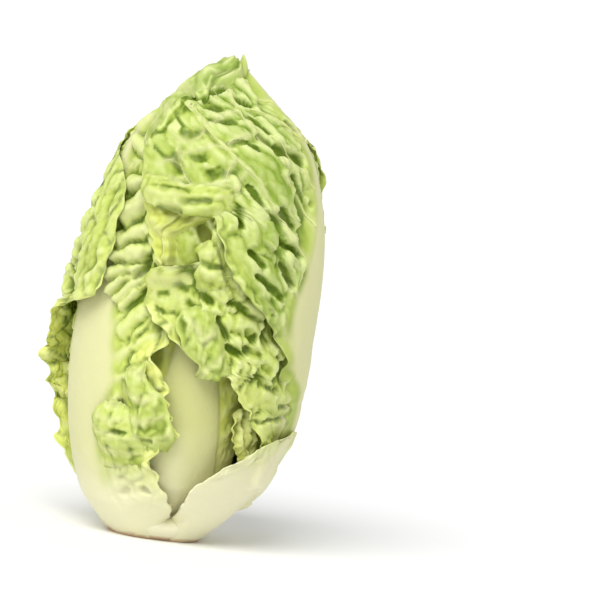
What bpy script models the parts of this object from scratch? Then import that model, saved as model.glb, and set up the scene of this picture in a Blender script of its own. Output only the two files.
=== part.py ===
"""A lettuce heart: leaves wrapped round a short stem, standing on its cut base.

Every leaf is one thin closed sheet with a thick midrib. The leaves are laid from the inside out.
A point of a leaf is given by its azimuth round the head, by a height on the head's outermost shell
and by a layer, the share of that shell's width at which it lies. A cover grid keeps the outermost
layer reached so far, and each new leaf lies on that cover with a small gap.
"""

import math
from dataclasses import dataclass

import bpy
import bmesh
import numpy as np

MM = 0.001

# The outermost shell. Front is -Y, +X is to the right.
HEIGHT = 161 * MM
RADIUS = 41 * MM
WAIST = 78 * MM  # height of the widest place
REACH_BELOW = 82 * MM  # from the waist down to where the shell would close
SQUARENESS = 2.3  # 2 is an ellipse, more is fuller
POINTEDNESS = 2.0  # how much the crown draws in to a tip
BODY_SHIFT = 2.2 * MM  # the body stands this far to the right of the base's centre
BODY_SHIFT_RISE = 14 * MM
CROWN_SHIFT = 4.5 * MM  # and its tip this much further
STEEPEST = 0.7  # where the base widens faster than this, a leaf's thickness is measured as if it didn't

# Inner layers are narrower copies of the shell. Above a certain height they are also lower.
SINK = 45 * MM  # how much lower the innermost layer's tip is
SINK_FROM = 60 * MM

# Stem
STEM_RADIUS = 10.6 * MM
STEM_HEIGHT = 34 * MM
STEM_TOP_RADIUS = 3.5 * MM
STEM_SIDES = 24

# Between neighbours
GAP = 0.7 * MM

# The cover grid
COVER_ROWS = 160
COVER_COLUMNS = 240
COVER_SPREAD = 2  # cells by which the cover is widened, then evened out

SEED = 7


@dataclass
class Leaf:
    """One leaf. A station list pairs a shell height in mm with a value there; azimuths are in degrees."""

    name: str
    rib: tuple  # azimuth of the midrib
    left: tuple  # azimuth of the left margin
    right: tuple  # azimuth of the right margin
    layer: tuple  # layer of the outer face at the midrib
    foot: float  # shell height in mm at which it starts
    tip: float  # shell height in mm of its tip
    shoulder: float = 12  # how much lower the two ends of its top margin are, in mm
    tuck: tuple = (0.05, 0.05)  # how far the left and right margins lie inside the midrib's layer
    blade: tuple = ((0, 0.9), (160, 0.9))  # thickness away from the midrib, in mm
    rib_width: tuple = ((0, 17), (60, 10), (150, 3))  # mm
    rib_depth: tuple = ((0, 1.4), (40, 2.8), (150, 0.4))  # mm
    frill_left: tuple = ((0, 0.6), (160, 0.6))  # how far the left margin ruffles outwards, in mm
    frill_right: tuple = ((0, 0.6), (160, 0.6))
    wave: float = 17  # mm from ruffle to ruffle
    pleat: float = 0.7  # height of the pleats between side veins, in mm
    columns: tuple = (5, 5)  # faces across, left and right of the midrib
    rows: int = 20
    colour: tuple = (0.62, 0.74, 0.28)


PALE = (0.80, 0.80, 0.52)
YELLOW = (0.70, 0.76, 0.30)
GREEN = (0.55, 0.68, 0.24)
DEEP = (0.45, 0.60, 0.18)
CUT_BLADE = ((0, 2.6), (12, 1.6), (30, 0.9))  # the leaves that reach the cut are thick there

LEAVES = (
    Leaf(
        "heart_leaf_1",
        rib=((0, 40), (160, 10)),
        left=((0, -90), (160, -120)),
        right=((0, 170), (160, 150)),
        layer=((0, 0.1), (60, 0.20), (150, 0.24)),
        foot=33, tip=150, shoulder=6, tuck=(0.0, 0.0),
        rib_width=((0, 6), (150, 3)), rib_depth=((0, 1.0), (150, 0.4)),
        frill_left=((0, 0.3), (160, 0.3)), frill_right=((0, 0.3), (160, 0.3)),
        pleat=0.3, columns=(5, 5), rows=9, colour=YELLOW,
    ),
    Leaf(
        "heart_leaf_2",
        rib=((0, -150), (160, -150)),
        left=((0, -230), (60, -265), (160, -270)),
        right=((0, -80), (60, -45), (160, -40)),
        layer=((0, 0.1), (50, 0.33), (150, 0.37)),
        foot=27, tip=151, shoulder=8, tuck=(0.0, 0.0),
        rib_width=((0, 8), (150, 3)), rib_depth=((0, 1.2), (150, 0.4)),
        frill_left=((0, 0.4), (160, 0.4)), frill_right=((0, 0.4), (160, 0.4)),
        pleat=0.3, columns=(5, 5), rows=10, colour=YELLOW,
    ),
    Leaf(
        "heart_leaf_3",
        rib=((0, 75), (160, 80)),
        left=((0, 10), (60, -20), (160, -25)),
        right=((0, 140), (60, 175), (160, 170)),
        layer=((0, 0.1), (50, 0.43), (150, 0.48)),
        foot=23, tip=152, shoulder=8, tuck=(0.02, 0.02),
        rib_width=((0, 10), (150, 3)), rib_depth=((0, 1.4), (150, 0.4)),
        pleat=0.4, columns=(5, 5), rows=11, colour=YELLOW,
    ),
    Leaf(
        "heart_leaf_4",
        rib=((0, -65), (160, -60)),
        left=((0, -130), (60, -165), (160, -160)),
        right=((0, 0), (60, 30), (160, 40)),
        layer=((0, 0.1), (50, 0.53), (150, 0.58)),
        foot=19, tip=152, shoulder=9, tuck=(0.02, 0.02),
        rib_width=((0, 12), (150, 3)), rib_depth=((0, 1.6), (150, 0.4)),
        pleat=0.4, columns=(5, 5), rows=12, colour=YELLOW,
    ),
    Leaf(
        "leaf_back_inner",
        rib=((0, 178), (160, 175)),
        left=((0, 125), (50, 95), (160, 90)),
        right=((0, 235), (50, 262), (160, 265)),
        layer=((0, 0.1), (20, 0.6), (45, 0.72), (80, 0.76), (150, 0.72)),
        foot=12, tip=151, shoulder=10, tuck=(0.03, 0.03),
        rib_width=((0, 14), (150, 3)), rib_depth=((0, 1.6), (60, 2.4), (150, 0.4)),
        pleat=0.5, columns=(6, 6), rows=14, colour=YELLOW,
    ),
    Leaf(
        "leaf_centre",
        rib=((0, 6), (60, 7), (160, 0)),
        left=((0, -40), (40, -52), (160, -60)),
        right=((0, 60), (20, 54), (35, 45), (55, 38), (75, 55), (160, 60)),
        layer=((0, 0.1), (10, 0.60), (20, 0.74), (40, 0.78), (80, 0.74), (150, 0.70)),
        foot=8, tip=148, shoulder=10, tuck=(0.06, 0.10),
        rib_width=((0, 15), (50, 13), (150, 3)), rib_depth=((0, 1.8), (30, 3.0), (50, 3.2), (150, 0.5)),
        pleat=0.6, columns=(5, 6), rows=17, colour=PALE,
    ),
    Leaf(
        "leaf_fold",
        rib=((0, 112), (160, 105)),
        left=((0, 80), (30, 70), (60, 50), (74, 10), (84, -12), (96, -24), (108, -18), (160, -5)),
        right=((0, 150), (50, 175), (160, 175)),
        layer=((0, 0.1), (20, 0.62), (45, 0.74), (150, 0.76)),
        foot=14, tip=151, shoulder=10, tuck=(-0.03, 0.03),
        rib_width=((0, 14), (150, 3)), rib_depth=((0, 1.6), (60, 2.4), (150, 0.4)),
        frill_left=((0, 0.6), (75, 0.8), (84, 2.6), (100, 2.6), (112, 0.8)),
        wave=13, pleat=0.6, columns=(8, 4), rows=17, colour=YELLOW,
    ),
    Leaf(
        "leaf_left",
        rib=((0, -52), (60, -58), (160, -62)),
        left=((0, -96), (30, -102), (60, -108), (75, -104), (160, -112)),
        right=((0, 3), (10, 4), (16, -5), (25, -12), (29, -4), (33, 1), (40, -3), (50, -6), (62, -9),
               (90, -12), (160, -20)),
        layer=((0, 0.96), (5, 0.94), (12, 0.97), (30, 0.96), (60, 0.94), (85, 0.92), (150, 0.86)),
        foot=0, tip=148, shoulder=10, tuck=(0.03, 0.08), blade=CUT_BLADE,
        rib_width=((0, 19), (30, 15), (70, 12), (150, 4)),
        rib_depth=((0, 1.0), (25, 3.4), (80, 2.8), (150, 0.5)),
        frill_right=((0, 0.3), (14, 1.0), (24, 2.4), (60, 3.0), (72, 1.0), (90, 0.4)),
        wave=15, pleat=1.0, columns=(6, 9), rows=27, colour=PALE,
    ),
    Leaf(
        "leaf_right_inner",
        rib=((0, 66), (60, 68), (160, 72)),
        left=((0, 46), (35, 43), (43, 35), (51, 24), (55, 18), (58, 8), (63, -3), (69, -13), (77, -21),
              (87, -23), (96, -20), (108, -12), (160, -10)),
        right=((0, 92), (40, 106), (160, 116)),
        layer=((0, 0.1), (12, 0.60), (20, 0.72), (40, 0.84), (70, 0.87), (110, 0.84), (150, 0.82)),
        foot=10, tip=150, shoulder=10, tuck=(-0.08, 0.02),
        rib_width=((0, 14), (60, 9), (150, 3)), rib_depth=((0, 1.2), (50, 2.4), (150, 0.5)),
        frill_left=((0, 0.4), (25, 1.6), (60, 2.2), (90, 1.8), (110, 0.6)),
        wave=15, pleat=1.0, columns=(9, 4), rows=24, colour=GREEN,
    ),
    Leaf(
        "leaf_right",
        rib=((0, 74), (60, 77), (160, 72)),
        left=((0, 50), (50, 55), (66, 46), (76, 36), (81, 27), (88, 15), (94, 9), (102, 3), (105, -8),
              (108, -24), (114, -34), (126, -42), (134, -44), (145, -62), (160, -80)),
        right=((0, 100), (30, 104), (60, 107), (160, 112)),
        layer=((0, 0.1), (12, 0.74), (25, 0.86), (40, 0.95), (60, 0.99), (85, 0.99), (105, 0.96),
               (125, 0.94), (148, 0.94), (160, 0.99)),
        foot=5, tip=160, shoulder=5, tuck=(0.0, 0.10),
        rib_width=((0, 16), (60, 12), (110, 8), (150, 3)),
        rib_depth=((0, 1.4), (30, 2.6), (60, 3.2), (120, 1.4), (150, 0.5)),
        frill_left=((0, 0.4), (60, 0.8), (80, 1.6), (102, 2.0), (125, 1.0), (160, 1.2)),
        wave=18, pleat=1.1, columns=(10, 4), rows=31, colour=GREEN,
    ),
    Leaf(
        "leaf_back_left",
        rib=((0, -140), (160, -138)),
        left=((0, -186), (30, -200), (60, -208), (160, -214)),
        right=((0, -99), (20, -101), (45, -98), (61, -97), (67, -92), (71, -80), (74, -66), (77, -52),
               (81, -47), (90, -45), (106, -45), (116, -48), (126, -54), (136, -74), (148, -92), (160, -100)),
        layer=((0, 0.96), (5, 0.93), (11, 0.94), (24, 1.0), (60, 0.99), (120, 0.97), (150, 0.90)),
        foot=0, tip=152, shoulder=9, tuck=(0.06, -0.04), blade=CUT_BLADE,
        rib_width=((0, 18), (60, 12), (150, 4)), rib_depth=((0, 1.0), (25, 3.2), (150, 0.5)),
        frill_right=((0, 0.3), (23, 0.6), (32, 6), (46, 11), (58, 9), (67, 3), (75, 1.6), (120, 1.6), (150, 0.8)),
        wave=15, pleat=0.9, columns=(5, 9), rows=26, colour=GREEN,
    ),
    Leaf(
        "leaf_back_right",
        rib=((0, 146), (160, 144)),
        left=((0, 100), (60, 108), (108, 111), (118, 102), (128, 99), (138, 106), (160, 112)),
        right=((0, 170), (30, 186), (60, 196), (160, 205)),
        layer=((0, 0.96), (5, 0.93), (11, 0.94), (24, 1.0), (60, 0.98), (120, 0.96), (150, 0.92)),
        foot=0, tip=155, shoulder=12, tuck=(0.0, 0.04), blade=CUT_BLADE,
        rib_width=((0, 18), (60, 11), (150, 4)), rib_depth=((0, 1.0), (25, 3.2), (150, 0.5)),
        frill_left=((0, 0.3), (100, 0.3), (122, 1.6), (136, 0.6), (160, 0.4)),
        frill_right=((0, 0.4), (60, 1.6), (150, 1.2)),
        wave=16, pleat=0.9, columns=(5, 6), rows=24, colour=DEEP,
    ),
    Leaf(
        "leaf_front_right",
        rib=((0, 52), (50, 80)),
        left=((0, 9), (9, 13), (17, 18.5), (21, 26), (26, 36), (28, 43), (31, 51), (35, 56), (39, 66),
              (50, 72)),
        right=((0, 97), (50, 106)),
        layer=((0, 0.96), (5, 0.91), (11, 0.92), (24, 1.0), (50, 1.03)),
        foot=0, tip=46, shoulder=3, tuck=(0.0, 0.03), blade=CUT_BLADE,
        rib_width=((0, 18), (50, 12)), rib_depth=((0, 1.0), (20, 2.6), (50, 1.0)),
        frill_left=((0, 0.2), (16, 0.4), (30, 1.2), (50, 1.4)), frill_right=((0, 0.3), (30, 0.8), (50, 1.0)),
        wave=12, pleat=0.7, columns=(7, 5), rows=12, colour=PALE,
    ),
)


def between(stations, height):
    """A smooth value at a shell height in metres, through a leaf's station list, with no overshoot."""
    at = np.array([h for h, _ in stations], float) * MM
    value = np.array([v for _, v in stations], float)
    step = np.diff(at)
    rise = np.diff(value) / step
    slope = np.zeros(len(at))
    if len(at) > 2:
        same_way = rise[:-1] * rise[1:] > 0
        mean = 2 * rise[:-1] * rise[1:] / np.where(same_way, rise[:-1] + rise[1:], 1)
        slope[1:-1] = np.where(same_way, mean, 0)
    height = np.clip(height, at[0], at[-1])
    k = np.clip(np.searchsorted(at, height, side="right") - 1, 0, len(step) - 1)
    t = (height - at[k]) / step[k]
    start = (1 + 2 * t) * (1 - t) ** 2 * value[k] + t * (1 - t) ** 2 * step[k] * slope[k]
    end = t * t * (3 - 2 * t) * value[k + 1] - t * t * (1 - t) * step[k] * slope[k + 1]
    return start + end


def shell_radius(height):
    """Half the width of the outermost shell at a height."""
    above = height > WAIST
    t = np.clip(np.abs(height - WAIST) / np.where(above, HEIGHT - WAIST, REACH_BELOW), 0, 1)
    power = np.where(above, 1 + POINTEDNESS * t**6, 1) / SQUARENESS
    return RADIUS * (1 - t**SQUARENESS) ** power


def shell_height(v):
    """Height on the outermost shell, v being 0 at the base and 1 at the tip, in steps of even length."""
    start = -math.asin(WAIST / REACH_BELOW)
    swing = start + np.asarray(v, float) * (math.pi / 2 - start)
    reach = np.where(swing > 0, HEIGHT - WAIST, REACH_BELOW)
    return WAIST + reach * np.sin(swing)


def shell_v(height):
    """The v of a shell height."""
    start = -math.asin(WAIST / REACH_BELOW)
    reach = np.where(height > WAIST, HEIGHT - WAIST, REACH_BELOW)
    swing = np.arcsin(np.clip((height - WAIST) / reach, -1, 1))
    return (swing - start) / (math.pi / 2 - start)


def sink(height):
    """How much lower than its shell height a point of the innermost layer is."""
    return SINK * np.clip((height - SINK_FROM) / (HEIGHT - SINK_FROM), 0, 1) ** 2


def lean(z):
    """How far to the right of the base's centre the head's axis is at z."""
    return CROWN_SHIFT * (z / HEIGHT) ** 2 + BODY_SHIFT * (1 - np.exp(-z / BODY_SHIFT_RISE))


def place(azimuth, height, layer):
    """Points in space: azimuth in radians, shell height and layer."""
    radius = layer * shell_radius(height)
    z = height - sink(height) * (1 - layer)
    return np.stack([radius * np.sin(azimuth) + lean(z), -radius * np.cos(azimuth), z], axis=-1)


def layer_room(height):
    """Metres of thickness, square to the shell, that one unit of layer takes up at a shell height."""
    step = 0.1 * MM
    low, high = np.clip(height - step, 0, HEIGHT), np.clip(height + step, 0, HEIGHT)
    widening = (shell_radius(high) - shell_radius(low)) / np.maximum(high - low, 1e-9)
    slope = np.minimum(widening, STEEPEST)
    return np.maximum(shell_radius(height) - sink(height) * slope, 9 * MM) / np.sqrt(1 + slope**2)


def turned(difference):
    """An azimuth difference in degrees, brought within half a turn."""
    return (difference + 180) % 360 - 180


class Cover:
    """The outermost layer reached so far, on a grid of shell height and azimuth."""

    def __init__(self):
        self.v = np.linspace(0, 1, COVER_ROWS)
        self.azimuth = np.arange(COVER_COLUMNS) * 360 / COVER_COLUMNS - 180
        heights = shell_height(self.v)
        stem = stem_radius(heights) / np.maximum(shell_radius(heights), 1 * MM)
        self.layer = np.repeat(stem[:, None], COVER_COLUMNS, axis=1)
        self.loosen()

    def loosen(self):
        """Raises each cell to its highest neighbour and evens the result out, as a sheet bridges dips."""
        wide = self.layer
        for _ in range(COVER_SPREAD):
            wide = self.neighbours(wide).max(axis=0)
        for _ in range(COVER_SPREAD):
            wide = self.neighbours(wide).mean(axis=0)
        self.loose = np.maximum(wide, self.layer)

    @staticmethod
    def neighbours(grid):
        """The grid beside its copies moved by one cell each way; azimuth goes round."""
        up, down = np.vstack([grid[1:], grid[-1:]]), np.vstack([grid[:1], grid[:-1]])
        rows = (down, grid, up)
        return np.stack([np.roll(row, turn, axis=1) for row in rows for turn in (-1, 0, 1)])

    def at(self, azimuth, v):
        """The loosened cover at azimuths in degrees and v."""
        column = ((azimuth + 180) % 360) * COVER_COLUMNS / 360
        row = np.clip(v, 0, 1) * (COVER_ROWS - 1)
        c, r = np.floor(column).astype(int), np.minimum(np.floor(row).astype(int), COVER_ROWS - 2)
        x, y = column - c, row - r
        c, after = c % COVER_COLUMNS, (c + 1) % COVER_COLUMNS
        low = self.loose[r, c] * (1 - x) + self.loose[r, after] * x
        high = self.loose[r + 1, c] * (1 - x) + self.loose[r + 1, after] * x
        return low * (1 - y) + high * y

    def under(self, azimuth, v):
        """The highest cover under the faces that meet at each point of a leaf's grid, so that they clear it."""
        high = self.at(azimuth, v)
        grids = [np.pad(grid, 1, mode="edge") for grid in (azimuth, v)]
        rows, columns = azimuth.shape
        shares = (1 / 3, 2 / 3, 1)
        for down in (0, 2):
            for right in (0, 2):
                corners = ((1, 1), (down, 1), (1, right), (down, right))
                near = [[grid[r:r + rows, c:c + columns] for r, c in corners] for grid in grids]
                for a in shares:
                    for b in shares:
                        weights = ((1 - a) * (1 - b), a * (1 - b), (1 - a) * b, a * b)
                        spot = [sum(w * corner for w, corner in zip(weights, four)) for four in near]
                        high = np.maximum(high, self.at(*spot))
        return high

    def add(self, sheet):
        """Lays a finished leaf's outer face on the cover."""
        row, column = np.meshgrid(self.v, self.azimuth, indexing="ij")
        outer, inside = sheet.outer_at(row, column)
        self.layer = np.where(inside, np.maximum(self.layer, outer), self.layer)
        self.loosen()


class Sheet:
    """A leaf's two faces on a grid of t, from foot to tip, and u, from -1 at the left margin to 1 at the right."""

    def __init__(self, leaf, cover, phases):
        self.leaf = leaf
        left, right = leaf.columns
        self.u = np.concatenate([np.linspace(-1, 0, left + 1), np.linspace(0, 1, right + 1)[1:]])
        self.t = np.linspace(0, 1, leaf.rows + 1)
        t, u = np.meshgrid(self.t, self.u, indexing="ij")
        self.v = self.foot_v() + (self.end_v(u) - self.foot_v()) * t
        self.height = shell_height(self.v)
        self.azimuth = self.rib_azimuth(self.height) + u * self.half_width(self.height, u)
        self.lay(u, cover, phases)

    def foot_v(self):
        return shell_v(np.array(self.leaf.foot * MM))

    def end_v(self, u):
        """Where the top margin lies: the leaf's tip at the midrib and lower towards the sides."""
        drop = self.leaf.shoulder * (1 - np.sqrt(1 - 0.96 * np.minimum(np.abs(u), 1) ** 2.4))
        return shell_v((self.leaf.tip - drop) * MM)

    def rib_azimuth(self, height):
        return between(self.leaf.rib, height)

    def half_width(self, height, side):
        """Degrees from the midrib to the margin on the side whose sign is given."""
        rib = self.rib_azimuth(height)
        left, right = rib - between(self.leaf.left, height), between(self.leaf.right, height) - rib
        return np.where(side < 0, left, right)

    def thickness(self, height, u):
        """The blade and its midrib."""
        leaf = self.leaf
        across = np.radians(np.abs(u) * self.half_width(height, u)) * shell_radius(height)
        midrib = between(leaf.rib_depth, height) * np.exp(-((across / between(leaf.rib_width, height) / MM) ** 2))
        return (between(leaf.blade, height) + midrib) * MM

    def margin_distance(self, points):
        """How far each point is from the leaf's margin, and the place along the margin nearest to it."""
        edge = np.concatenate([points[:, 0], points[-1, 1:-1], points[::-1, -1]])
        run = np.concatenate([[0], np.cumsum(np.linalg.norm(np.diff(edge, axis=0), axis=1))])
        apart = np.linalg.norm(points[:, :, None] - edge, axis=-1)
        return apart.min(axis=-1), run[apart.argmin(axis=-1)]

    def lay(self, u, cover, phases):
        """Works out the inner and outer layers of every grid point."""
        leaf = self.leaf
        room = layer_room(self.height)
        thick = self.thickness(self.height, u)
        side_tuck = np.where(u < 0, leaf.tuck[0], leaf.tuck[1])
        wanted = between(leaf.layer, self.height) - side_tuck * np.abs(u) ** 1.5 - thick / room
        beneath = cover.under(self.azimuth, self.v) + GAP / room
        lowest = np.maximum(wanted, beneath)
        flat = place(np.radians(self.azimuth), self.height, np.maximum(lowest, 0.3))
        self.inner = lowest + (self.ruffle(u, flat, phases) + self.pleats(u)) / room
        self.outer = self.inner + thick / room

    def ruffle(self, u, points, phases):
        """The waves of the margins, which only ever go outwards."""
        leaf = self.leaf
        away, run = self.margin_distance(points)
        frill = np.where(u < 0, between(leaf.frill_left, self.height), between(leaf.frill_right, self.height))
        near = np.exp(-away / (7 * MM)) * np.clip((self.height / MM - leaf.foot - 4) / 14, 0, 1)
        turn = 2 * math.pi * run / (leaf.wave * MM)
        wave = 0.55 + 0.3 * np.sin(turn + phases[0]) + 0.15 * np.sin(2.3 * turn + phases[1])
        return frill * MM * near * wave

    def pleats(self, u):
        """The soft folds between the side veins, which climb from the midrib to the margins."""
        leaf = self.leaf
        across = np.radians(np.abs(u) * self.half_width(self.height, u)) * shell_radius(self.height)
        turn = 2 * math.pi * (self.height - 0.55 * across) / (15 * MM) + np.where(u < 0, 0, math.pi)
        near = np.clip(across / (9 * MM), 0, 1) * np.clip((self.height - 22 * MM) / (25 * MM), 0, 1)
        return leaf.pleat * MM * near * (0.5 + 0.5 * np.sin(turn))

    def outer_at(self, v, azimuth):
        """The outer layer at v and azimuths in degrees, and which of those places the leaf covers."""
        height = shell_height(v)
        off = turned(azimuth - self.rib_azimuth(height))
        u = off / self.half_width(height, off)
        t = (v - self.foot_v()) / (self.end_v(np.clip(u, -1, 1)) - self.foot_v())
        inside = (np.abs(u) <= 1) & (t >= 0) & (t <= 1)
        column = np.interp(np.clip(u, -1, 1), self.u, np.arange(len(self.u)))
        row = np.clip(t, 0, 1) * (len(self.t) - 1)
        c = np.minimum(column.astype(int), len(self.u) - 2)
        r = np.minimum(row.astype(int), len(self.t) - 2)
        x, y = column - c, row - r
        low = self.outer[r, c] * (1 - x) + self.outer[r, c + 1] * x
        high = self.outer[r + 1, c] * (1 - x) + self.outer[r + 1, c + 1] * x
        return low * (1 - y) + high * y, inside


def stem_radius(height):
    """The stem's radius at a height, 0 above its top."""
    share = np.clip(height / STEM_HEIGHT, 0, 1)
    cone = STEM_RADIUS + (STEM_TOP_RADIUS - STEM_RADIUS) * share
    crown = np.sqrt(np.clip(1 - share**6, 0, 1))
    return cone * crown


def material(name, colour, roughness=0.5):
    made = bpy.data.materials.new(name)
    made.use_nodes = True
    surface = made.node_tree.nodes["Principled BSDF"]
    surface.inputs["Base Color"].default_value = (*colour, 1)
    surface.inputs["Roughness"].default_value = roughness
    return made


def add_object(name, mesh, colour):
    mesh.materials.append(material(name, colour))
    made = bpy.data.objects.new(name, mesh)
    bpy.context.scene.collection.objects.link(made)
    return made


def sheet_mesh(sheet):
    """A closed solid from a leaf's two faces, split into triangles alike on both."""
    azimuth = np.radians(sheet.azimuth)
    rows, columns = azimuth.shape
    faces = [place(azimuth, sheet.height, layer).reshape(-1, 3) for layer in (sheet.outer, sheet.inner)]
    mesh = bmesh.new()
    outer, inner = ([mesh.verts.new(point) for point in face] for face in faces)
    for r in range(rows - 1):
        for c in range(columns - 1):
            a, b = r * columns + c, r * columns + c + 1
            d, e = a + columns, b + columns
            rising, falling = (outer[a].co - outer[e].co).length, (outer[b].co - outer[d].co).length
            splits = ((a, b, e), (a, e, d)) if rising < falling else ((a, b, d), (b, e, d))
            for corners in splits:
                mesh.faces.new([outer[k] for k in corners])
                mesh.faces.new([inner[k] for k in reversed(corners)])
    last = (rows - 1) * columns
    rim = list(range(columns))
    rim += [r * columns + columns - 1 for r in range(1, rows)]
    rim += [last + c for c in range(columns - 2, -1, -1)]
    rim += [r * columns for r in range(rows - 2, 0, -1)]
    for a, b in zip(rim, rim[1:] + rim[:1]):
        mesh.faces.new((outer[b], outer[a], inner[a]))
        mesh.faces.new((outer[b], inner[a], inner[b]))
    made = bpy.data.meshes.new(sheet.leaf.name)
    mesh.to_mesh(made)
    mesh.free()
    made.shade_smooth()
    return made


def stem_mesh():
    """The short stem: a turned solid with a flat cut face at the bottom."""
    heights = np.append(np.linspace(0, 0.9, 7), [0.97, 1.0]) * STEM_HEIGHT
    mesh = bmesh.new()
    rings = []
    turns = [2 * math.pi * k / STEM_SIDES for k in range(STEM_SIDES)]
    for z in heights[:-1]:
        radius = float(stem_radius(z))
        around = [(radius * math.cos(turn) + lean(z), radius * math.sin(turn), z) for turn in turns]
        rings.append([mesh.verts.new(point) for point in around])
    for low, high in zip(rings, rings[1:]):
        for k in range(STEM_SIDES):
            after = (k + 1) % STEM_SIDES
            mesh.faces.new((low[k], low[after], high[after], high[k]))
    mesh.faces.new(list(reversed(rings[0])))
    mesh.faces.new(rings[-1])
    made = bpy.data.meshes.new("stem")
    mesh.to_mesh(made)
    mesh.free()
    return made


def clear_scene():
    for thing in list(bpy.data.objects):
        bpy.data.objects.remove(thing)


def main():
    clear_scene()
    draw = np.random.default_rng(SEED)
    cover = Cover()
    add_object("stem", stem_mesh(), PALE)
    for leaf in LEAVES:
        sheet = Sheet(leaf, cover, draw.uniform(0, 2 * math.pi, 2))
        add_object(leaf.name, sheet_mesh(sheet), leaf.colour)
        cover.add(sheet)


main()
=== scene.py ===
"""The look of a lettuce heart that stands on its cut base.

Every leaf is a fine closed sheet: a pale midrib, side veins that climb from it, blisters between the veins
and a ruffled margin. The leaves are laid from the inside out. A point of a leaf is given by its azimuth
round the head, by a height on the head's outermost shell and by a layer, the share of the shell's width at
which it lies. A cover grid keeps the outermost layer reached so far, and the next leaf lies on it.
"""

import functools
import math
from dataclasses import dataclass

import bpy
import numpy as np
from mathutils import Matrix


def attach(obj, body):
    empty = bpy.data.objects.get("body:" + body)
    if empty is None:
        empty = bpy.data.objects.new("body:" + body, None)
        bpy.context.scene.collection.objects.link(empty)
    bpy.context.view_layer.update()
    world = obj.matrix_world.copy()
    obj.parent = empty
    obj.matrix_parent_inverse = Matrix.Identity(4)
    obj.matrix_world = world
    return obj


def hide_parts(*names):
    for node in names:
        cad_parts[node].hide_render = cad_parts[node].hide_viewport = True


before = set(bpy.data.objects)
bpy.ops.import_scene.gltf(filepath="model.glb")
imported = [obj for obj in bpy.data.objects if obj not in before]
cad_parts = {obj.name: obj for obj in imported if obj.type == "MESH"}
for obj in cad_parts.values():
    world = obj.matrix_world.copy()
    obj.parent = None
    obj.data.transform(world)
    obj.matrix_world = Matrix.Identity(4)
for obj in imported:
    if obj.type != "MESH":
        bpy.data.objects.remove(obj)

bl_info = {
    "name": "Lettuce Heart",
    "version": (1, 0, 0),
    "blender": (4, 5, 0),
    "location": "3D View > Sidebar > Lettuce",
    "description": "Models an upright lettuce heart with crinkled leaves on a cut stem",
    "category": "Add Mesh",
}

MM = 0.001
BODY = "root"

# The outermost shell. Front is -Y, +X is to the right.
HEIGHT = 161 * MM
RADIUS = 41 * MM
WAIST = 78 * MM  # height of the widest place
REACH_BELOW = 82 * MM  # from the waist down to where the shell would close, which the cut takes off
SQUARENESS = 2.3  # 2 being an ellipse
POINTEDNESS = 2.0  # how much more the very top tapers
STEEPEST = 0.7  # widening for each metre of height that layers are measured with at most
LEAST_RADIUS = 6 * MM  # radius that turns azimuths into widths near the tip

# The head's axis: the body stands a little to the right of the base, and the crown leans further right.
BODY_SHIFT = 2.2 * MM
BODY_SHIFT_RISE = 14 * MM
CROWN_SHIFT = 4.5 * MM

# Inner leaves are shorter: a point of the innermost layer is lower than the shell, the tip by SINK.
SINK = 45 * MM
SINK_FROM = 60 * MM

# The stem, a blunt cone. Its foot has grown together with the leaf bases.
STEM_RADIUS = 10.6 * MM
STEM_HEIGHT = 34 * MM
STEM_TOP_RADIUS = 3.5 * MM
STEM_FOOT = 0.885  # layer that the foot reaches out to
STEM_FOOT_HEIGHT = 4 * MM
STEM_FOOT_FADE = 8 * MM  # over how much height it goes over into the cone

# The front picture. Its camera looks down by the tilt, and is turned by the roll, both in degrees.
VIEW_TILT = 4
VIEW_ROLL = 8
VIEW_DISTANCE = 1.4
PICTURE = 592  # its side in pixels
PICTURE_SCALE = 3000.0  # pixels for each metre at the head's axis
BASE_AT = (153.0, 534.0)  # the pixel that shows the base's centre

# How leaves lie on each other.
GAP = 0.3 * MM  # from leaf to leaf
SETTLING = 0.01  # layers over which a leaf comes to lie on what is beneath it
SUNK_DEPTH = 0.4 * MM  # how far a sunk margin's outer face lies beneath the leaf that it goes into
FOOT_TUCK = (0.5, 8, 5)  # share by which an outer leaf's foot margins go in, up to which mm, and its fade
COVER_ROWS = 400
COVER_COLUMNS = 720
COVER_SPREAD = 5  # cells by which the cover is widened, then evened out

# How light goes into a leaf.
SOFT_DEPTH = 1.2 * MM
SOFT_SKIN = {"soft": 0.2, "soft_reach": (1.0, 1.0, 0.35)}

# The leaves' relief. Lengths are in mm.
VEIN_CURL = 0.0035  # how much a side vein flattens out for each mm away from the midrib
PIT_DEPTH = -0.8  # depth of a bulge that goes inwards, as a share of a bulge's height
PARTS = 2.1  # how many small bulges lie across a large one
PEBBLE = 3.6  # pitch of the smallest bulges
MARGIN_WANDER = ((11, 0.6), (5, 0.34), (2.3, 0.06))  # wavelengths of the margin's outline, and their shares
DRAWN_VEIN = 0.9  # reach of a drawn vein's rise from its line
SUNKEN_VEIN = 0.08  # how far a vein's middle lies beneath the face
RUFFLE_REACH = 6.5  # how far a ruffle reaches in from the margin
# The hollows found here are painted with shade in the leaf colour, and the tops between them with a paler
# painted highlight.
HOLLOWS = ((45, 2.3), (8, 0.9))  # rounds of evening out that find hollows, and how deep a dark one is
UPRIGHT = 0.12  # a face that looks outwards less than this is evened out


def even(value):
    """A station list with one value all the way up."""
    return ((0, value), (160, value))


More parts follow.
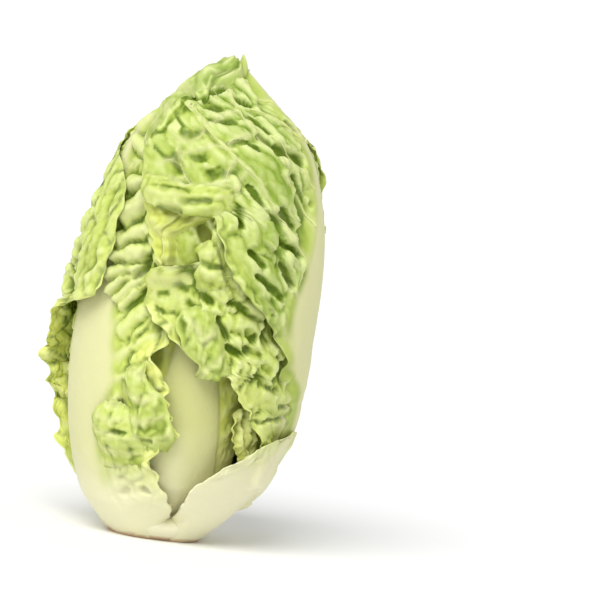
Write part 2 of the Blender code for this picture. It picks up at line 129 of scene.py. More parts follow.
@dataclass
class Leaf:
    """One leaf. A station list pairs a shell height in mm with a value there; azimuths are in degrees."""

    name: str
    group: str
    rib: tuple  # azimuth of the midrib
    left: tuple  # azimuth of the left margin
    right: tuple  # azimuth of the right margin
    layer: tuple  # layer of the outer face at the midrib
    foot: float  # shell height in mm at which it starts
    tip: float  # shell height in mm of its tip
    shoulder: float = 12  # how much lower the two ends of its top margin are, in mm
    tuck: tuple = (0.05, 0.05)  # how far the left and right margins lie inside the midrib's layer
    blade: tuple = ((0, 0.6), (160, 0.5))  # thickness away from the midrib, in mm
    rib_half: tuple = ((0, 14), (60, 9), (150, 1.5))  # half the midrib's width in mm
    rib_half_right: tuple = ()  # the same to the right of its azimuth, where that differs
    rib_depth: tuple = ((0, 1.4), (40, 2.6), (150, 0.4))  # how much thicker it is, in mm
    rib_rise: float = 0.8  # how far it stands out from the blade beside it, in mm
    frill_left: tuple = even(0.6)  # how far the margins ruffle outwards, in mm
    frill_right: tuple = even(0.6)
    wave: float = 15  # mm from ruffle to ruffle
    scallop: float = 0.8  # how far the margin's outline wanders, in mm
    climb: tuple = (0.7, 0.7)  # rise of the left and right side veins for each mm away from the midrib
    vein_step: float = 10  # mm of height from side vein to side vein
    vein_ridge: float = 0.8  # height of a side vein beside the midrib, in mm
    blister: float = 1.2  # height of the bulges between veins, in mm
    pits: float = 0.2  # share of the bulges that go inwards instead
    stretch: float = 1.3  # how much longer than wide the bulges are
    veined: float = 0.0  # mm from the midrib to which its thin raised side veins reach
    near_deep: float = 0.0  # how dark the green beside the midrib is
    fine: float = 1.0  # height of the smallest bulges, 1 being a third of a mm
    calm_from: float = 300  # mm from the midrib beyond which the bulges have no smaller ones on them
    swell: float = 1.0  # height of the broad waves of the blade, in mm
    lip: tuple = even(0)  # how rounded the left margin is, in mm
    droop: float = 0.5  # how far each bulge hangs over what is below it, as a share of its height
    rib_edge: float = 5.0  # mm over which the midrib goes over into the blade
    part_of: str = ""  # for a lobe, the leaf whose surface it folds over
    hug: tuple = even(0)  # how much further the left margin is tucked in
    into: tuple = even(0)  # how far, up to 1, the left margin goes into the leaf beneath
    white: tuple = (4, 24)  # heights in mm between which the white foot goes over into the leaf's colour
    # On the crown roll, deep is painted shade of its rolled-over underside; elsewhere it only makes the green
    # darker.
    deep: float = 0.0  # how dark its green is
    lime: float = 0.0  # how yellow its green is
    heel: float = 0.0  # how much higher the two ends of a lobe's lower margin are, in mm
    sunk: tuple = (0, 0, 0, 0)  # mm over which a lobe's left, right, lower and upper margins go in
    dome: float = 0.0  # how far a lobe bulges, in mm
    step: float = 2.0  # mm from point to point of its mesh
    seed: int = 0

    @property
    def node(self):
        return self.part_of or self.name

    @property
    def from_base(self):
        """Whether it starts at the cut face."""
        return self.foot < 1


def lobe(name, leaf, **sizes):
    """A lobe with no midrib of its own, which lies on another leaf."""
    usual = {"tuck": (0, 0), "shoulder": 2, "rib_half": even(0), "rib_depth": even(0), "rib_rise": 0}
    return Leaf(name, "", part_of=leaf, **(usual | sizes))


FOOT_BLADE = ((0, 2.6), (12, 1.6), (30, 0.6), (160, 0.5))  # a blade with a thick foot
INNER_RIB = ((0, 12), (60, 8), (150, 1.5))
INNER_RIB_DEPTH = ((0, 1.6), (60, 2.2), (150, 0.4))

LEAVES = (
    Leaf(
        "heart_leaf_1", "heart",
        foot=33, tip=150, shoulder=6, seed=1, rib=((0, 40), (160, 10)), left=((0, -90), (160, -120)),
        right=((0, 170), (160, 150)), layer=((0, 0.1), (60, 0.2), (150, 0.24)), tuck=(0.0, 0.0),
        rib_half=((0, 4), (150, 1)), rib_depth=((0, 1.0), (150, 0.4)), blister=0.3, swell=0.3,
    ),
    Leaf(
        "heart_leaf_2", "heart",
        foot=27, tip=151, shoulder=8, seed=2, rib=even(-150), left=((0, -230), (60, -265), (160, -270)),
        right=((0, -80), (60, -45), (160, -40)), layer=((0, 0.1), (50, 0.33), (150, 0.37)), tuck=(0.0, 0.0),
        rib_half=((0, 6), (150, 1)), rib_depth=((0, 1.2), (150, 0.4)), blister=0.4, swell=0.4,
    ),
    Leaf(
        "heart_leaf_3", "heart", foot=23, tip=152, shoulder=8, seed=3, rib=((0, 75), (160, 80)),
        left=((0, 10), (60, -20), (160, -25)), right=((0, 140), (60, 175), (160, 170)),
        layer=((0, 0.1), (50, 0.43), (150, 0.48)), tuck=(0.02, 0.02), rib_half=((0, 8), (150, 1)),
        rib_depth=((0, 1.4), (150, 0.4)), blister=0.5, swell=0.4,
    ),
    Leaf(
        "heart_leaf_4", "heart", foot=19, tip=152, shoulder=9, seed=4, rib=((0, -65), (160, -60)),
        left=((0, -130), (60, -165), (160, -160)), right=((0, 0), (60, 30), (160, 40)),
        layer=((0, 0.1), (50, 0.53), (150, 0.58)), tuck=(0.02, 0.02), rib_half=((0, 9), (150, 1)),
        rib_depth=((0, 1.6), (150, 0.4)), blister=0.6, swell=0.5,
    ),
    Leaf(
        "leaf_back_inner", "inner",
        foot=12, tip=157, shoulder=10, seed=5, step=1.6, rib=((0, 178), (160, 175)),
        left=((0, 125), (50, 95), (160, 90)), right=((0, 235), (50, 262), (160, 265)),
        layer=((0, 0.1), (20, 0.6), (45, 0.72), (80, 0.76), (150, 0.72)), tuck=(0.03, 0.03),
        rib_half=INNER_RIB, rib_depth=INNER_RIB_DEPTH, blister=0.8,
    ),
    Leaf(
        "leaf_centre", "inner",
        foot=8, tip=148, shoulder=10, seed=6, step=0.9, rib=((0, 6), (60, 7), (160, 0)),
        left=((0, -40), (40, -52), (160, -60)),
        right=((0, 66), (20, 66), (35, 60), (55, 56), (75, 60), (160, 60)),
        layer=((0, 0.1), (10, 0.6), (20, 0.74), (40, 0.78), (80, 0.74), (150, 0.7)), tuck=(0.06, 0.1),
        rib_half=((0, 20), (23, 20), (30, 18), (37, 16.7), (50, 13.4), (57, 11.2), (80, 8), (150, 2)),
        rib_depth=((0, 1.8), (30, 2.4), (50, 2.4), (150, 0.5)), rib_rise=2.2, rib_edge=1.2, blister=0.5,
        swell=0.5, white=(8, 45), lime=0.5,
    ),
    Leaf(
        "leaf_fold", "inner", foot=14, tip=155, shoulder=10, seed=7, step=0.9, rib=((0, 112), (160, 105)),
        left=((0, 80), (30, 70), (60, 50), (74, 10), (84, -13), (92, -20), (100, -25), (104, -30),
              (108, -33), (112, -30), (116, -15), (160, -5)), right=((0, 150), (50, 175), (160, 175)),
        layer=((0, 0.1), (20, 0.62), (45, 0.74), (78, 0.78), (92, 0.83), (110, 0.84), (122, 0.8),
               (150, 0.76)), tuck=(-0.03, 0.03), rib_half=INNER_RIB, rib_depth=INNER_RIB_DEPTH,
        frill_left=((0, 0.6), (75, 0.8), (84, 2.4), (104, 3.0), (112, 0.8)), wave=11, scallop=1.4, deep=0.5,
    ),
    lobe(
        "fold_frill", "leaf_fold", foot=25, tip=50, shoulder=3, seed=21, step=0.6, rib=even(52),
        left=((25, 56), (30, 51), (36, 41), (42, 37), (46, 38), (50, 40)), right=((25, 84), (50, 80)),
        layer=((0, 0.84), (25, 0.86), (50, 0.84)), tuck=(0.06, 0.05), frill_left=even(1.6), wave=6,
        scallop=1.6, climb=(1.2, 1.2), vein_step=7, vein_ridge=0.0, blister=2.0, swell=0.8, lime=1.0,
    ),
    Leaf(
        "leaf_left", "outer",
        foot=0, tip=148, shoulder=10, seed=8, step=0.75, rib=((0, -52), (60, -58), (160, -62)),
        left=((0, -98.6), (9, -99.4), (14, -99.5), (22, -106), (30, -113), (60, -118), (75, -112),
              (160, -114)),
        right=((0, 15.9), (7, 16.6), (10, 12), (14, 6.4), (20, -1), (24, -7), (28.5, -10), (33, -4),
               (37.5, 2.5), (43, -1.5), (52, -5), (57, -6.5), (62, -14), (69, -8.5), (78, -9), (88, -12),
               (97, -17), (107, -23), (160, -25)),
        layer=((0, 0.96), (5, 0.94), (12, 0.97), (30, 0.96), (60, 0.94), (85, 0.92), (115, 0.93),
               (130, 0.97), (150, 0.92)), tuck=(0.03, 0.06),
        blade=FOOT_BLADE,
        rib_half=((0, 22), (20, 24), (60, 22), (75, 18), (90, 11), (105, 4), (150, 1)),
        rib_half_right=((0, 12), (10, 8), (15, 6), (31, 7), (40, 9), (45, 11.5), (52, 15), (65, 13.5),
                        (78, 11), (91, 8), (104, 4), (150, 1)),
        rib_depth=((0, 1.0), (25, 3.2), (80, 2.6), (150, 0.5)), rib_rise=1.0,
        frill_right=((0, 0.3), (14, 1.2), (24, 3.0), (60, 4.0), (72, 1.5), (90, 0.6)), wave=13, scallop=1.2,
        climb=(0.6, 0.6), vein_step=8.5, vein_ridge=1.5, blister=1.4, white=(6, 32),
    ),
    lobe(
        "fold_tongue", "leaf_fold", foot=89, tip=116, seed=25, step=0.6,
        rib=((0, -15), (97, -17), (102.5, -20), (105, -18), (110, -14), (116, -12)),
        left=((89, -19), (93.5, -21), (100, -24.5), (102.5, -27.5), (105, -29.5), (108, -30.5), (112, -31),
              (116, -31)),
        right=((89, -10), (93, -11.5), (97, -12), (102.5, -14), (105, -10), (107.5, -5), (109.3, 1),
               (110.3, 6), (116, 8)), layer=even(0.93), frill_left=even(1.2), wave=8, scallop=1.0,
        climb=(0.5, 0.5), vein_step=9, vein_ridge=0.3, blister=1.4, sunk=(0, 2, 0, 0), dome=1.2, lime=0.25,
    ),
    lobe(
        "left_upper_lobe", "leaf_left",
        foot=31, tip=60, shoulder=6, seed=22, step=0.7, rib=((0, -16), (160, -22)),
        left=((31, -26), (36, -29), (43, -31), (49, -32), (55, -31), (60, -28)),
        right=((31, -1), (33.5, 1), (36, 3), (41, -0.5), (45, -3), (48.5, -5.5), (51, -9), (53, -14),
               (56, -17), (59, -21)), layer=even(0.96), frill_left=even(0), frill_right=even(0.8), wave=10,
        scallop=1.2, climb=(0.2, 0.2), vein_step=7, vein_ridge=0.3, blister=1.3, swell=0.8,
        sunk=(7, 0, 6, 0), dome=1.2, deep=0.2,
    ),
    lobe(
        "left_lower_lobe", "leaf_left", foot=23, tip=46.5, shoulder=5, seed=23, step=0.7, rib=even(-32),
        left=((23, -38), (29, -40), (33, -42.5), (38, -44.5), (41, -43), (46, -39)),
        right=((23, -9), (32, -12), (38, -19), (42.5, -21), (46, -24)), layer=even(0.96),
        frill_left=((0, 0.2), (28, 0.8), (160, 1.4)), frill_right=even(0), wave=9, scallop=1.2,
        climb=(0.2, 0.2), vein_step=6, vein_ridge=0.4, blister=1.0, swell=0.8, sunk=(0, 6, 9, 0), dome=1.6,
    ),
    Leaf(
        "leaf_right_inner", "outer",
        foot=10, tip=150, shoulder=10, seed=9, step=0.75, rib=((0, 84), (60, 84), (160, 80)),
        left=((0, 60), (30, 57), (36, 52), (39.5, 50.5), (41.5, 47), (43.5, 42), (46.5, 40.5), (48.3, 38.5),
              (49.5, 34), (52, 30.5), (54.5, 27), (58.6, 22), (60.5, 12), (63.5, 6), (66.5, -2),
              (72.5, -13.5), (80, -23), (88, -25), (91, -18), (93, -8), (96, 1), (101, 4), (160, 5)),
        right=((0, 92), (40, 106), (160, 116)),
        layer=((0, 0.1), (12, 0.62), (20, 0.76), (40, 0.9), (60, 0.9), (75, 0.87), (110, 0.84),
               (150, 0.82)), tuck=(-0.05, 0.02), rib_half=((0, 12), (60, 6), (150, 1.5)),
        rib_depth=((0, 1.2), (50, 2.2), (150, 0.5)),
        frill_left=((0, 0.4), (25, 1.6), (60, 2.2), (90, 1.8), (110, 0.6)), wave=13, scallop=1.8,
        climb=(1.1, 0.9), vein_step=13, blister=2.8, pits=0.3, stretch=2.0, swell=1.2, droop=0.6,
    ),
    lobe(
        "middle_lobe", "leaf_right_inner",
        foot=57, tip=81, heel=1, seed=24, step=0.7, rib=((0, 12), (70, 8), (160, 4)),
        left=((57, 17), (60.5, 11), (63, 4.5), (66, -0.5), (70, -3.5), (74, -6), (77.5, -5.5), (81, -2)),
        right=((57, 24), (63, 23), (69, 20.5), (73, 18), (77, 13.5), (81, 8)), layer=even(0.9),
        frill_right=even(0.4), wave=9, scallop=1.0, climb=(0.9, 0.9), vein_step=11, vein_ridge=0.4,
        blister=1.6, swell=0.8, sunk=(0, 5, 0, 5), dome=1.6, deep=0.4,
    ),
    lobe(
        "fold_lump", "leaf_right_inner",
        foot=85, tip=103, heel=1, seed=28, step=0.6, rib=((0, 7), (160, 5)),
        left=((84, 1), (88, 0), (91, -1.5), (94, 0.5), (96, 0), (99, -3), (101, -2), (104, 2)),
        right=((84, 20), (90, 16), (96, 12.5), (104, 9)), layer=even(0.9), frill_left=even(0.4),
        frill_right=even(0), wave=7, scallop=1.0, climb=(0.8, 0.8), vein_step=8, vein_ridge=0.0, swell=0.4,
        sunk=(0, 3, 5, 0), dome=1.2,
    ),
    Leaf(
        "leaf_right", "outer", foot=5, tip=160, shoulder=5, seed=10, step=0.75,
        rib=((0, 96), (45, 96), (56, 91), (66, 84), (80, 80), (100, 78), (160, 72)),
        left=((0, 76), (38, 77), (50, 76), (56, 70), (60, 64), (66, 56), (72, 47), (78, 38), (85, 25.5),
              (92, 16), (96, 12.5), (101, 9), (104.3, 7), (108.4, 4.6), (111, 1), (112.5, -8), (114, -20),
              (115.5, -31), (118, -37), (129, -43), (138, -50), (147, -68), (160, -85)),
        right=((0, 100), (30, 104), (60, 107), (160, 112)),
        layer=((0, 0.1), (12, 0.74), (25, 0.86), (40, 0.95), (60, 0.98), (85, 0.99), (105, 0.98),
               (125, 0.95), (148, 0.94), (160, 0.99)), tuck=(0.0, 0.1),
        hug=((0, 0.16), (55, 0.14), (70, 0.05), (85, 0), (160, 0)),
        into=((0, 1), (56, 1), (66, 0), (160, 0)),
        lip=((0, 0.5), (70, 1), (85, 2), (95, 3.5), (125, 3.5), (140, 1)),
        rib_half=((0, 6), (50, 6), (57, 10), (64, 17), (80, 19), (95, 13), (110, 7), (120, 4), (150, 1)),
        rib_half_right=((0, 12), (60, 12), (100, 9), (118, 4), (150, 1)),
        rib_depth=((0, 1.4), (30, 2.6), (60, 3.0), (120, 1.4), (150, 0.5)),
        frill_left=((0, 0.4), (60, 0.8), (80, 1.6), (102, 1.2), (125, 0.6), (160, 1.2)), scallop=1.6,
        climb=(1.4, 0.9), vein_step=18, veined=22, blister=2.2, pits=0.22, stretch=2.0, fine=0.8,
        calm_from=62, swell=1.6, droop=0.7, deep=0.4, near_deep=1.0,
    ),
    lobe(
        "cap_lip", "leaf_right",
        foot=109.3, tip=122, heel=1.2, seed=27, step=0.6, rib=((0, -14), (160, -16)),
        left=((109, -25), (110, -28), (112, -31.5), (116, -35), (123, -39)),
        right=((109, 5), (111, 8), (113, 13), (123, 14)), layer=even(0.99),
        frill_left=((0, 0.7), (160, 0.3)), frill_right=((0, 0.6), (160, 0.2)), wave=12, climb=(0.5, 0.5),
        vein_step=9, vein_ridge=0.3, blister=1.3, swell=0.6, sunk=(0, 9, 0, 7), dome=1.0,
    ),
    # The crown roll's darker green is painted shade of its rolled-over underside.
    lobe(
        "crown_roll", "leaf_right", foot=128, tip=159, seed=26, step=0.6,
        rib=((0, -43), (128, -43), (138, -47), (147, -62), (152, -62), (155.7, -30), (160, -30)),
        left=((0, -45), (128, -45), (138, -51), (147, -72), (151, -90), (154, -100), (160, -110)),
        right=((0, -41), (128, -41), (131, -43), (138, -44.5), (146, -52), (149, -49), (152, -34),
               (153.3, -8), (155.7, 31), (160, 50)), layer=even(0.99), frill_left=even(0),
        frill_right=even(0.3), wave=12, scallop=1.0, climb=(1.5, 1.5), vein_step=8, vein_ridge=0.3,
        swell=0.6, sunk=(0, 3, 2, 0), dome=1.8, deep=1.0,
    ),
    Leaf(
        "leaf_back_left", "outer",
        foot=0, tip=157, shoulder=10, seed=11, step=0.8, rib=((0, -140), (160, -138)),
        left=((0, -186), (10, -185), (16, -188), (30, -200), (60, -208), (160, -214)),
        right=((0, -99), (10, -99.8), (18, -100), (30, -106), (45, -108), (55, -105), (61, -99), (67, -92),
               (71, -82), (74, -70), (76, -57), (79, -48), (83, -45), (89, -45.5), (96, -43), (102, -45),
               (108, -43), (115, -47), (120, -54), (124, -64), (127, -80), (130, -98), (140, -114),
               (160, -124)),
        layer=((0, 0.96), (5, 0.93), (11, 0.94), (24, 1.0), (60, 0.99), (100, 0.97), (120, 0.94),
               (150, 0.9)), tuck=(0.06, -0.04), blade=FOOT_BLADE,
        rib_half=((0, 18), (60, 11), (150, 2.5)), rib_depth=((0, 1.0), (25, 3.0), (150, 0.5)),
        frill_right=((0, 0.3), (22, 1.0), (27, 4.5), (35, 5.5), (39, 6.5), (43, 10.5), (47, 11), (54, 11),
                     (58, 9), (61, 5), (70, 4), (78, 1.6), (100, 1.0), (116, 0.4), (130, 0), (150, 0)),
        wave=10, scallop=1.0, climb=(0.8, 0.8), vein_step=11, veined=60, blister=1.8, swell=1.4,
    ),
    Leaf(
        "leaf_back_right", "outer",
        foot=0, tip=158.5, shoulder=10, seed=12, step=0.8, rib=((0, 146), (160, 144)),
        left=((0, 100), (9, 100.4), (30, 103), (60, 108), (105, 112), (117, 111), (123, 107), (131, 102),
              (139, 108), (160, 112)),
        right=((0, 173.7), (9, 174.6), (16, 178), (30, 186), (60, 196), (160, 205)),
        layer=((0, 0.96), (5, 0.93), (11, 0.94), (24, 1.0), (60, 0.98), (120, 0.96), (150, 0.92)),
        tuck=(0.0, 0.04), blade=FOOT_BLADE,
        rib_half=((0, 18), (60, 10), (150, 2.5)), rib_depth=((0, 1.0), (25, 3.0), (150, 0.5)),
        frill_left=((0, 0.3), (117, 0.3), (127, 1.6), (138, 0.6), (160, 0.4)),
        frill_right=((0, 0.4), (60, 1.6), (150, 1.2)), wave=14, scallop=1.2, climb=(0.8, 0.8), vein_step=13,
        veined=60, blister=1.9, swell=1.2, deep=0.4,
    ),
    Leaf(
        "leaf_front_right", "outer", foot=0, tip=41, shoulder=3, seed=13, step=0.6, rib=((0, 52), (50, 80)),
        left=((0, 16.2), (7.4, 17), (12, 16.6), (20.5, 19), (24.5, 25), (29.5, 34), (31.5, 40), (34, 45),
              (37, 50), (38.5, 57), (40, 68), (50, 76)), right=((0, 99.7), (9, 100), (50, 106)),
        layer=((0, 0.96), (5, 0.91), (11, 0.92), (24, 1.0), (50, 1.03)), tuck=(0.0, 0.03),
        blade=((0, 2.6), (12, 1.6), (30, 0.8), (160, 0.5)),
        rib_half=((0, 30), (18, 26), (28, 13), (38, 5), (50, 3)),
        rib_half_right=((0, 26), (12, 16), (24, 9), (38, 4), (50, 3)),
        rib_depth=((0, 1.0), (20, 2.4), (50, 1.0)), frill_left=((0, 0.2), (16, 0.4), (30, 1.2), (50, 1.4)),
        frill_right=((0, 0.3), (50, 0.4)), wave=8, scallop=1.8, vein_step=7, vein_ridge=1.0, blister=1.4,
        swell=0.5, white=(16, 50),
    ),
)


def between(stations, height):
    """A smooth value at a shell height in metres, through a leaf's station list, with no overshoot."""
    at = np.array([h for h, _ in stations], float) * MM
    value = np.array([v for _, v in stations], float)
    step = np.diff(at)
    rise = np.diff(value) / step
    slope = np.zeros(len(at))
    if len(at) > 2:
        same_way = rise[:-1] * rise[1:] > 0
        mean = 2 * rise[:-1] * rise[1:] / np.where(same_way, rise[:-1] + rise[1:], 1)
        slope[1:-1] = np.where(same_way, mean, 0)
    height = np.clip(height, at[0], at[-1])
    k = np.clip(np.searchsorted(at, height, side="right") - 1, 0, len(step) - 1)
    t = (height - at[k]) / step[k]
    start = (1 + 2 * t) * (1 - t) ** 2 * value[k] + t * (1 - t) ** 2 * step[k] * slope[k]
    end = t * t * (3 - 2 * t) * value[k + 1] - t * t * (1 - t) * step[k] * slope[k + 1]
    return start + end


def shell_radius(height):
    """Half the width of the outermost shell at a height."""
    above = height > WAIST
    t = np.clip(np.abs(height - WAIST) / np.where(above, HEIGHT - WAIST, REACH_BELOW), 0, 1)
    power = np.where(above, 1 + POINTEDNESS * t**6, 1) / SQUARENESS
    return RADIUS * (1 - t**SQUARENESS) ** power


def shell_height(v):
    """Height on the outermost shell, v being 0 at the base and 1 at the tip, in steps of even length."""
    start = -math.asin(WAIST / REACH_BELOW)
    swing = start + np.asarray(v, float) * (math.pi / 2 - start)
    reach = np.where(swing > 0, HEIGHT - WAIST, REACH_BELOW)
    return WAIST + reach * np.sin(swing)


def shell_v(height):
    """The v of a shell height."""
    start = -math.asin(WAIST / REACH_BELOW)
    reach = np.where(height > WAIST, HEIGHT - WAIST, REACH_BELOW)
    swing = np.arcsin(np.clip((height - WAIST) / reach, -1, 1))
    return (swing - start) / (math.pi / 2 - start)


RUN_HEIGHTS = np.linspace(0, HEIGHT, 4000)
RUN = np.concatenate([[0], np.cumsum(np.hypot(np.diff(RUN_HEIGHTS), np.diff(shell_radius(RUN_HEIGHTS))))])


def shell_run(height):
    """The way along the shell from the base up to a height."""
    return np.interp(height, RUN_HEIGHTS, RUN)


def height_at_run(run):
    """The shell height that a way along the shell leads to."""
    return np.interp(run, RUN, RUN_HEIGHTS)


def lean(z):
    """How far to the right of the base's centre the head's axis is at z."""
    return CROWN_SHIFT * (z / HEIGHT) ** 2 + BODY_SHIFT * (1 - np.exp(-z / BODY_SHIFT_RISE))


def sink(height):
    """How much lower than its shell height a point of the innermost layer is."""
    return SINK * np.clip((height - SINK_FROM) / (HEIGHT - SINK_FROM), 0, 1) ** 2


def place(azimuth, height, layer):
    """Points in space: azimuth in radians, shell height and layer."""
    radius = layer * shell_radius(height)
    z = height - sink(height) * (1 - layer)
    return np.stack([radius * np.sin(azimuth) + lean(z), -radius * np.cos(azimuth), z], axis=-1)


def layer_room(height):
    """Metres of thickness, square to the shell, that one unit of layer takes up at a shell height."""
    step = 0.1 * MM
    low, high = np.clip(height - step, 0, HEIGHT), np.clip(height + step, 0, HEIGHT)
    widening = (shell_radius(high) - shell_radius(low)) / np.maximum(high - low, 1e-9)
    slope = np.minimum(widening, STEEPEST)
    return np.maximum(shell_radius(height) - sink(height) * slope, 9 * MM) / np.sqrt(1 + slope**2)


def picture_axes(tilt, roll):
    """The picture's right and up in space, for a camera that looks down by tilt and is turned by roll."""
    level = np.array([1.0, 0, 0])
    upright = np.array([0, math.sin(tilt), math.cos(tilt)])
    right = math.cos(roll) * level + math.sin(roll) * upright
    up = -math.sin(roll) * level + math.cos(roll) * upright
    return right, up


def seen_at(leaf, pixel):
    """Where on a leaf the front picture shows a pixel: mm beside the midrib and mm up the leaf.

    The leaf's depth there is found by trial: each round moves the place to the leaf's own surface.
    """
    right, up = picture_axes(math.radians(VIEW_TILT), math.radians(VIEW_ROLL))
    ahead = np.cross(up, right)
    middle = (PICTURE / 2 - BASE_AT[0], BASE_AT[1] - PICTURE / 2)
    depth = -RADIUS
    for _ in range(12):
        grown = 1 + depth / VIEW_DISTANCE
        x = ((pixel[0] - PICTURE / 2) * grown + middle[0]) / PICTURE_SCALE
        y = ((PICTURE / 2 - pixel[1]) * grown + middle[1]) / PICTURE_SCALE
        point = right * x + up * y + ahead * depth
        height = point[2]
        for _ in range(4):
            layer = between(leaf.layer, height)
            height = point[2] + sink(height) * (1 - layer)
        radius = layer * shell_radius(height)
        sideways = np.clip((point[0] - lean(point[2])) / max(radius, 1 * MM), -1, 1)
        depth += (-radius * math.sqrt(1 - sideways**2) - point[1]) / ahead[1]
    off = turned(math.degrees(math.asin(sideways)) - between(leaf.rib, height))
    return np.array([math.radians(off) * shell_radius(height) / MM, shell_run(height) / MM])


def stem_radius(height):
    """The stem's radius at a height, 0 above its top."""
    share = np.clip(height / STEM_HEIGHT, 0, 1)
    cone = STEM_RADIUS + (STEM_TOP_RADIUS - STEM_RADIUS) * share
    return cone * np.sqrt(np.clip(1 - share**6, 0, 1))


def grown_radius(height):
    """The radius of the stem with the leaf bases that it has grown together with."""
    radius = stem_radius(height)
    foot = 1 - ease((height - STEM_FOOT_HEIGHT) / STEM_FOOT_FADE)
    return radius + (STEM_FOOT * shell_radius(height) - radius) * foot


def ease(x):
    """0 up to 0 and 1 from 1 on, with a smooth rise between them."""
    x = np.clip(x, 0, 1)
    return x * x * (3 - 2 * x)


def smooth_max(a, b, blend):
    """The higher of two, rounded where they meet."""
    gap = np.clip(blend - np.abs(a - b), 0, None) / blend
    return np.maximum(a, b) + gap * gap * blend / 4


def chance(i, j, seed):
    """A number from 0 to 1 for each whole pair, always the same for the same seed."""
    n = (i.astype(np.int64) * 374761393 + j.astype(np.int64) * 668265263 + seed * 2147483647) & 0xFFFFFFFF
    n = ((n ^ (n >> 13)) * 1274126177) & 0xFFFFFFFF
    n = ((n ^ (n >> 16)) * 2246822519) & 0xFFFFFFFF
    return (n ^ (n >> 15)) / 0xFFFFFFFF


def ripple(x, y, seed):
    """Smooth noise from -1 to 1 with waves about one unit long."""
    i, j = np.floor(x), np.floor(y)
    a, b = ease(x - i), ease(y - j)
    low = chance(i, j, seed) * (1 - a) + chance(i + 1, j, seed) * a
    high = chance(i, j + 1, seed) * (1 - a) + chance(i + 1, j + 1, seed) * a
    return 2 * (low * (1 - b) + high * b) - 1


def cells(x, y, wide, tall, jitter, seed):
    """Irregular cells on a lattice of unit pitch.

    Returns the distance from the nearest border in mm, wide and tall being the pitches in mm, and the
    nearest cell's own number from 0 to 1.
    """
    i, j = np.floor(x), np.floor(y)
    nearest = np.full(x.shape, 1e9)
    second = np.full(x.shape, 1e9)
    own = np.zeros(x.shape)
    for di in (-1, 0, 1):
        for dj in (-1, 0, 1):
            ci, cj = i + di, j + dj
            cx = ci + 0.5 + jitter[0] * (chance(ci, cj, seed) - 0.5)
            cy = cj + 0.5 + jitter[1] * (chance(ci, cj, seed + 1) - 0.5) + 0.5 * (ci % 2)
            away = np.hypot((x - cx) * wide, (y - cy) * tall)
            closer = away < nearest
            second = np.where(closer, nearest, np.minimum(second, away))
            own = np.where(closer, chance(ci, cj, seed + 2), own)
            nearest = np.where(closer, away, nearest)
    return (second - nearest) / 2, own


def rounding(u):
    """How far a leaf's end margin has dropped, from 0 at the midrib to 0.8 at its corners."""
    return 1 - np.sqrt(1 - 0.96 * np.minimum(np.abs(u), 1) ** 2.4)


def blurred(grid, times):
    """A grid evened out with its neighbours."""
    edge = [(1, 1), (1, 1)] + [(0, 0)] * (grid.ndim - 2)
    for _ in range(times):
        grid = np.pad(grid, edge, mode="edge")
        middle = grid[1:-1, 1:-1]
        grid = (grid[:-2, 1:-1] + grid[2:, 1:-1] + grid[1:-1, :-2] + grid[1:-1, 2:] + 2 * middle) / 6
    return grid


def turned(difference):
    """An azimuth difference in degrees, brought within half a turn."""
    return (difference + 180) % 360 - 180


def from_grid(grid, row, column):
    """Values between the points of a grid, at fractional rows and columns."""
    r = np.clip(np.floor(row).astype(int), 0, grid.shape[0] - 2)
    c = np.clip(np.floor(column).astype(int), 0, grid.shape[1] - 2)
    y, x = row - r, column - c
    if grid.ndim == 3:
        y, x = y[..., None], x[..., None]
    low = grid[r, c] * (1 - x) + grid[r, c + 1] * x
    high = grid[r + 1, c] * (1 - x) + grid[r + 1, c + 1] * x
    return low * (1 - y) + high * y


def facing(points):
    """Which way a grid's surface looks at each of its points."""
    normal = np.cross(np.gradient(points, axis=1), np.gradient(points, axis=0))
    return normal / np.maximum(np.linalg.norm(normal, axis=-1, keepdims=True), 1e-12)


def untangled(points, outward):
    """A grid's points, evened out wherever its surface turns over itself."""
    for _ in range(10):
        over = ((facing(points) * outward).sum(axis=-1) < UPRIGHT).astype(float)
        share = np.clip(4 * blurred(over, 2), 0, 1)[..., None]
        points = points + (blurred(points, 2) - points) * share
    return points


class Cover:
    """The outermost layer reached so far, on a grid of shell height and azimuth."""

    def __init__(self):
        self.v = np.linspace(0, 1, COVER_ROWS)
        self.azimuth = np.arange(COVER_COLUMNS) * 360 / COVER_COLUMNS - 180
        heights = shell_height(self.v)
        stem = stem_radius(heights) / np.maximum(shell_radius(heights), 1 * MM)
        self.layer = np.repeat(stem[:, None], COVER_COLUMNS, axis=1)
        self.loosen()

    def loosen(self):
        """Raises each cell to its highest neighbour and evens the result out, as a sheet bridges dips."""
        wide = self.layer
        for _ in range(COVER_SPREAD):
            wide = self.neighbours(wide).max(axis=0)
        for _ in range(COVER_SPREAD):
            wide = self.neighbours(wide).mean(axis=0)
        self.loose = np.maximum(wide, self.layer)

    @staticmethod
    def neighbours(grid):
        """The grid beside its copies moved by one cell each way; azimuth goes round."""
        up, down = np.vstack([grid[1:], grid[-1:]]), np.vstack([grid[:1], grid[:-1]])
        return np.stack([np.roll(row, turn, axis=1) for row in (down, grid, up) for turn in (-1, 0, 1)])

    def at(self, azimuth, v, loose=True):
        """The cover at azimuths in degrees and v, loosened or as it is."""
        grid = self.loose if loose else self.layer
        column = ((azimuth + 180) % 360) * COVER_COLUMNS / 360
        wrapped = np.hstack([grid, grid[:, :1]])
        return from_grid(wrapped, np.clip(v, 0, 1) * (COVER_ROWS - 1), column)

    def add(self, sheet):
        """Lays a finished leaf's outer face on the cover."""
        v, azimuth = np.meshgrid(self.v, self.azimuth, indexing="ij")
        outer, inside = sheet.outer_at(v, azimuth)
        self.layer = np.where(inside, np.maximum(self.layer, outer), self.layer)
        self.loosen()


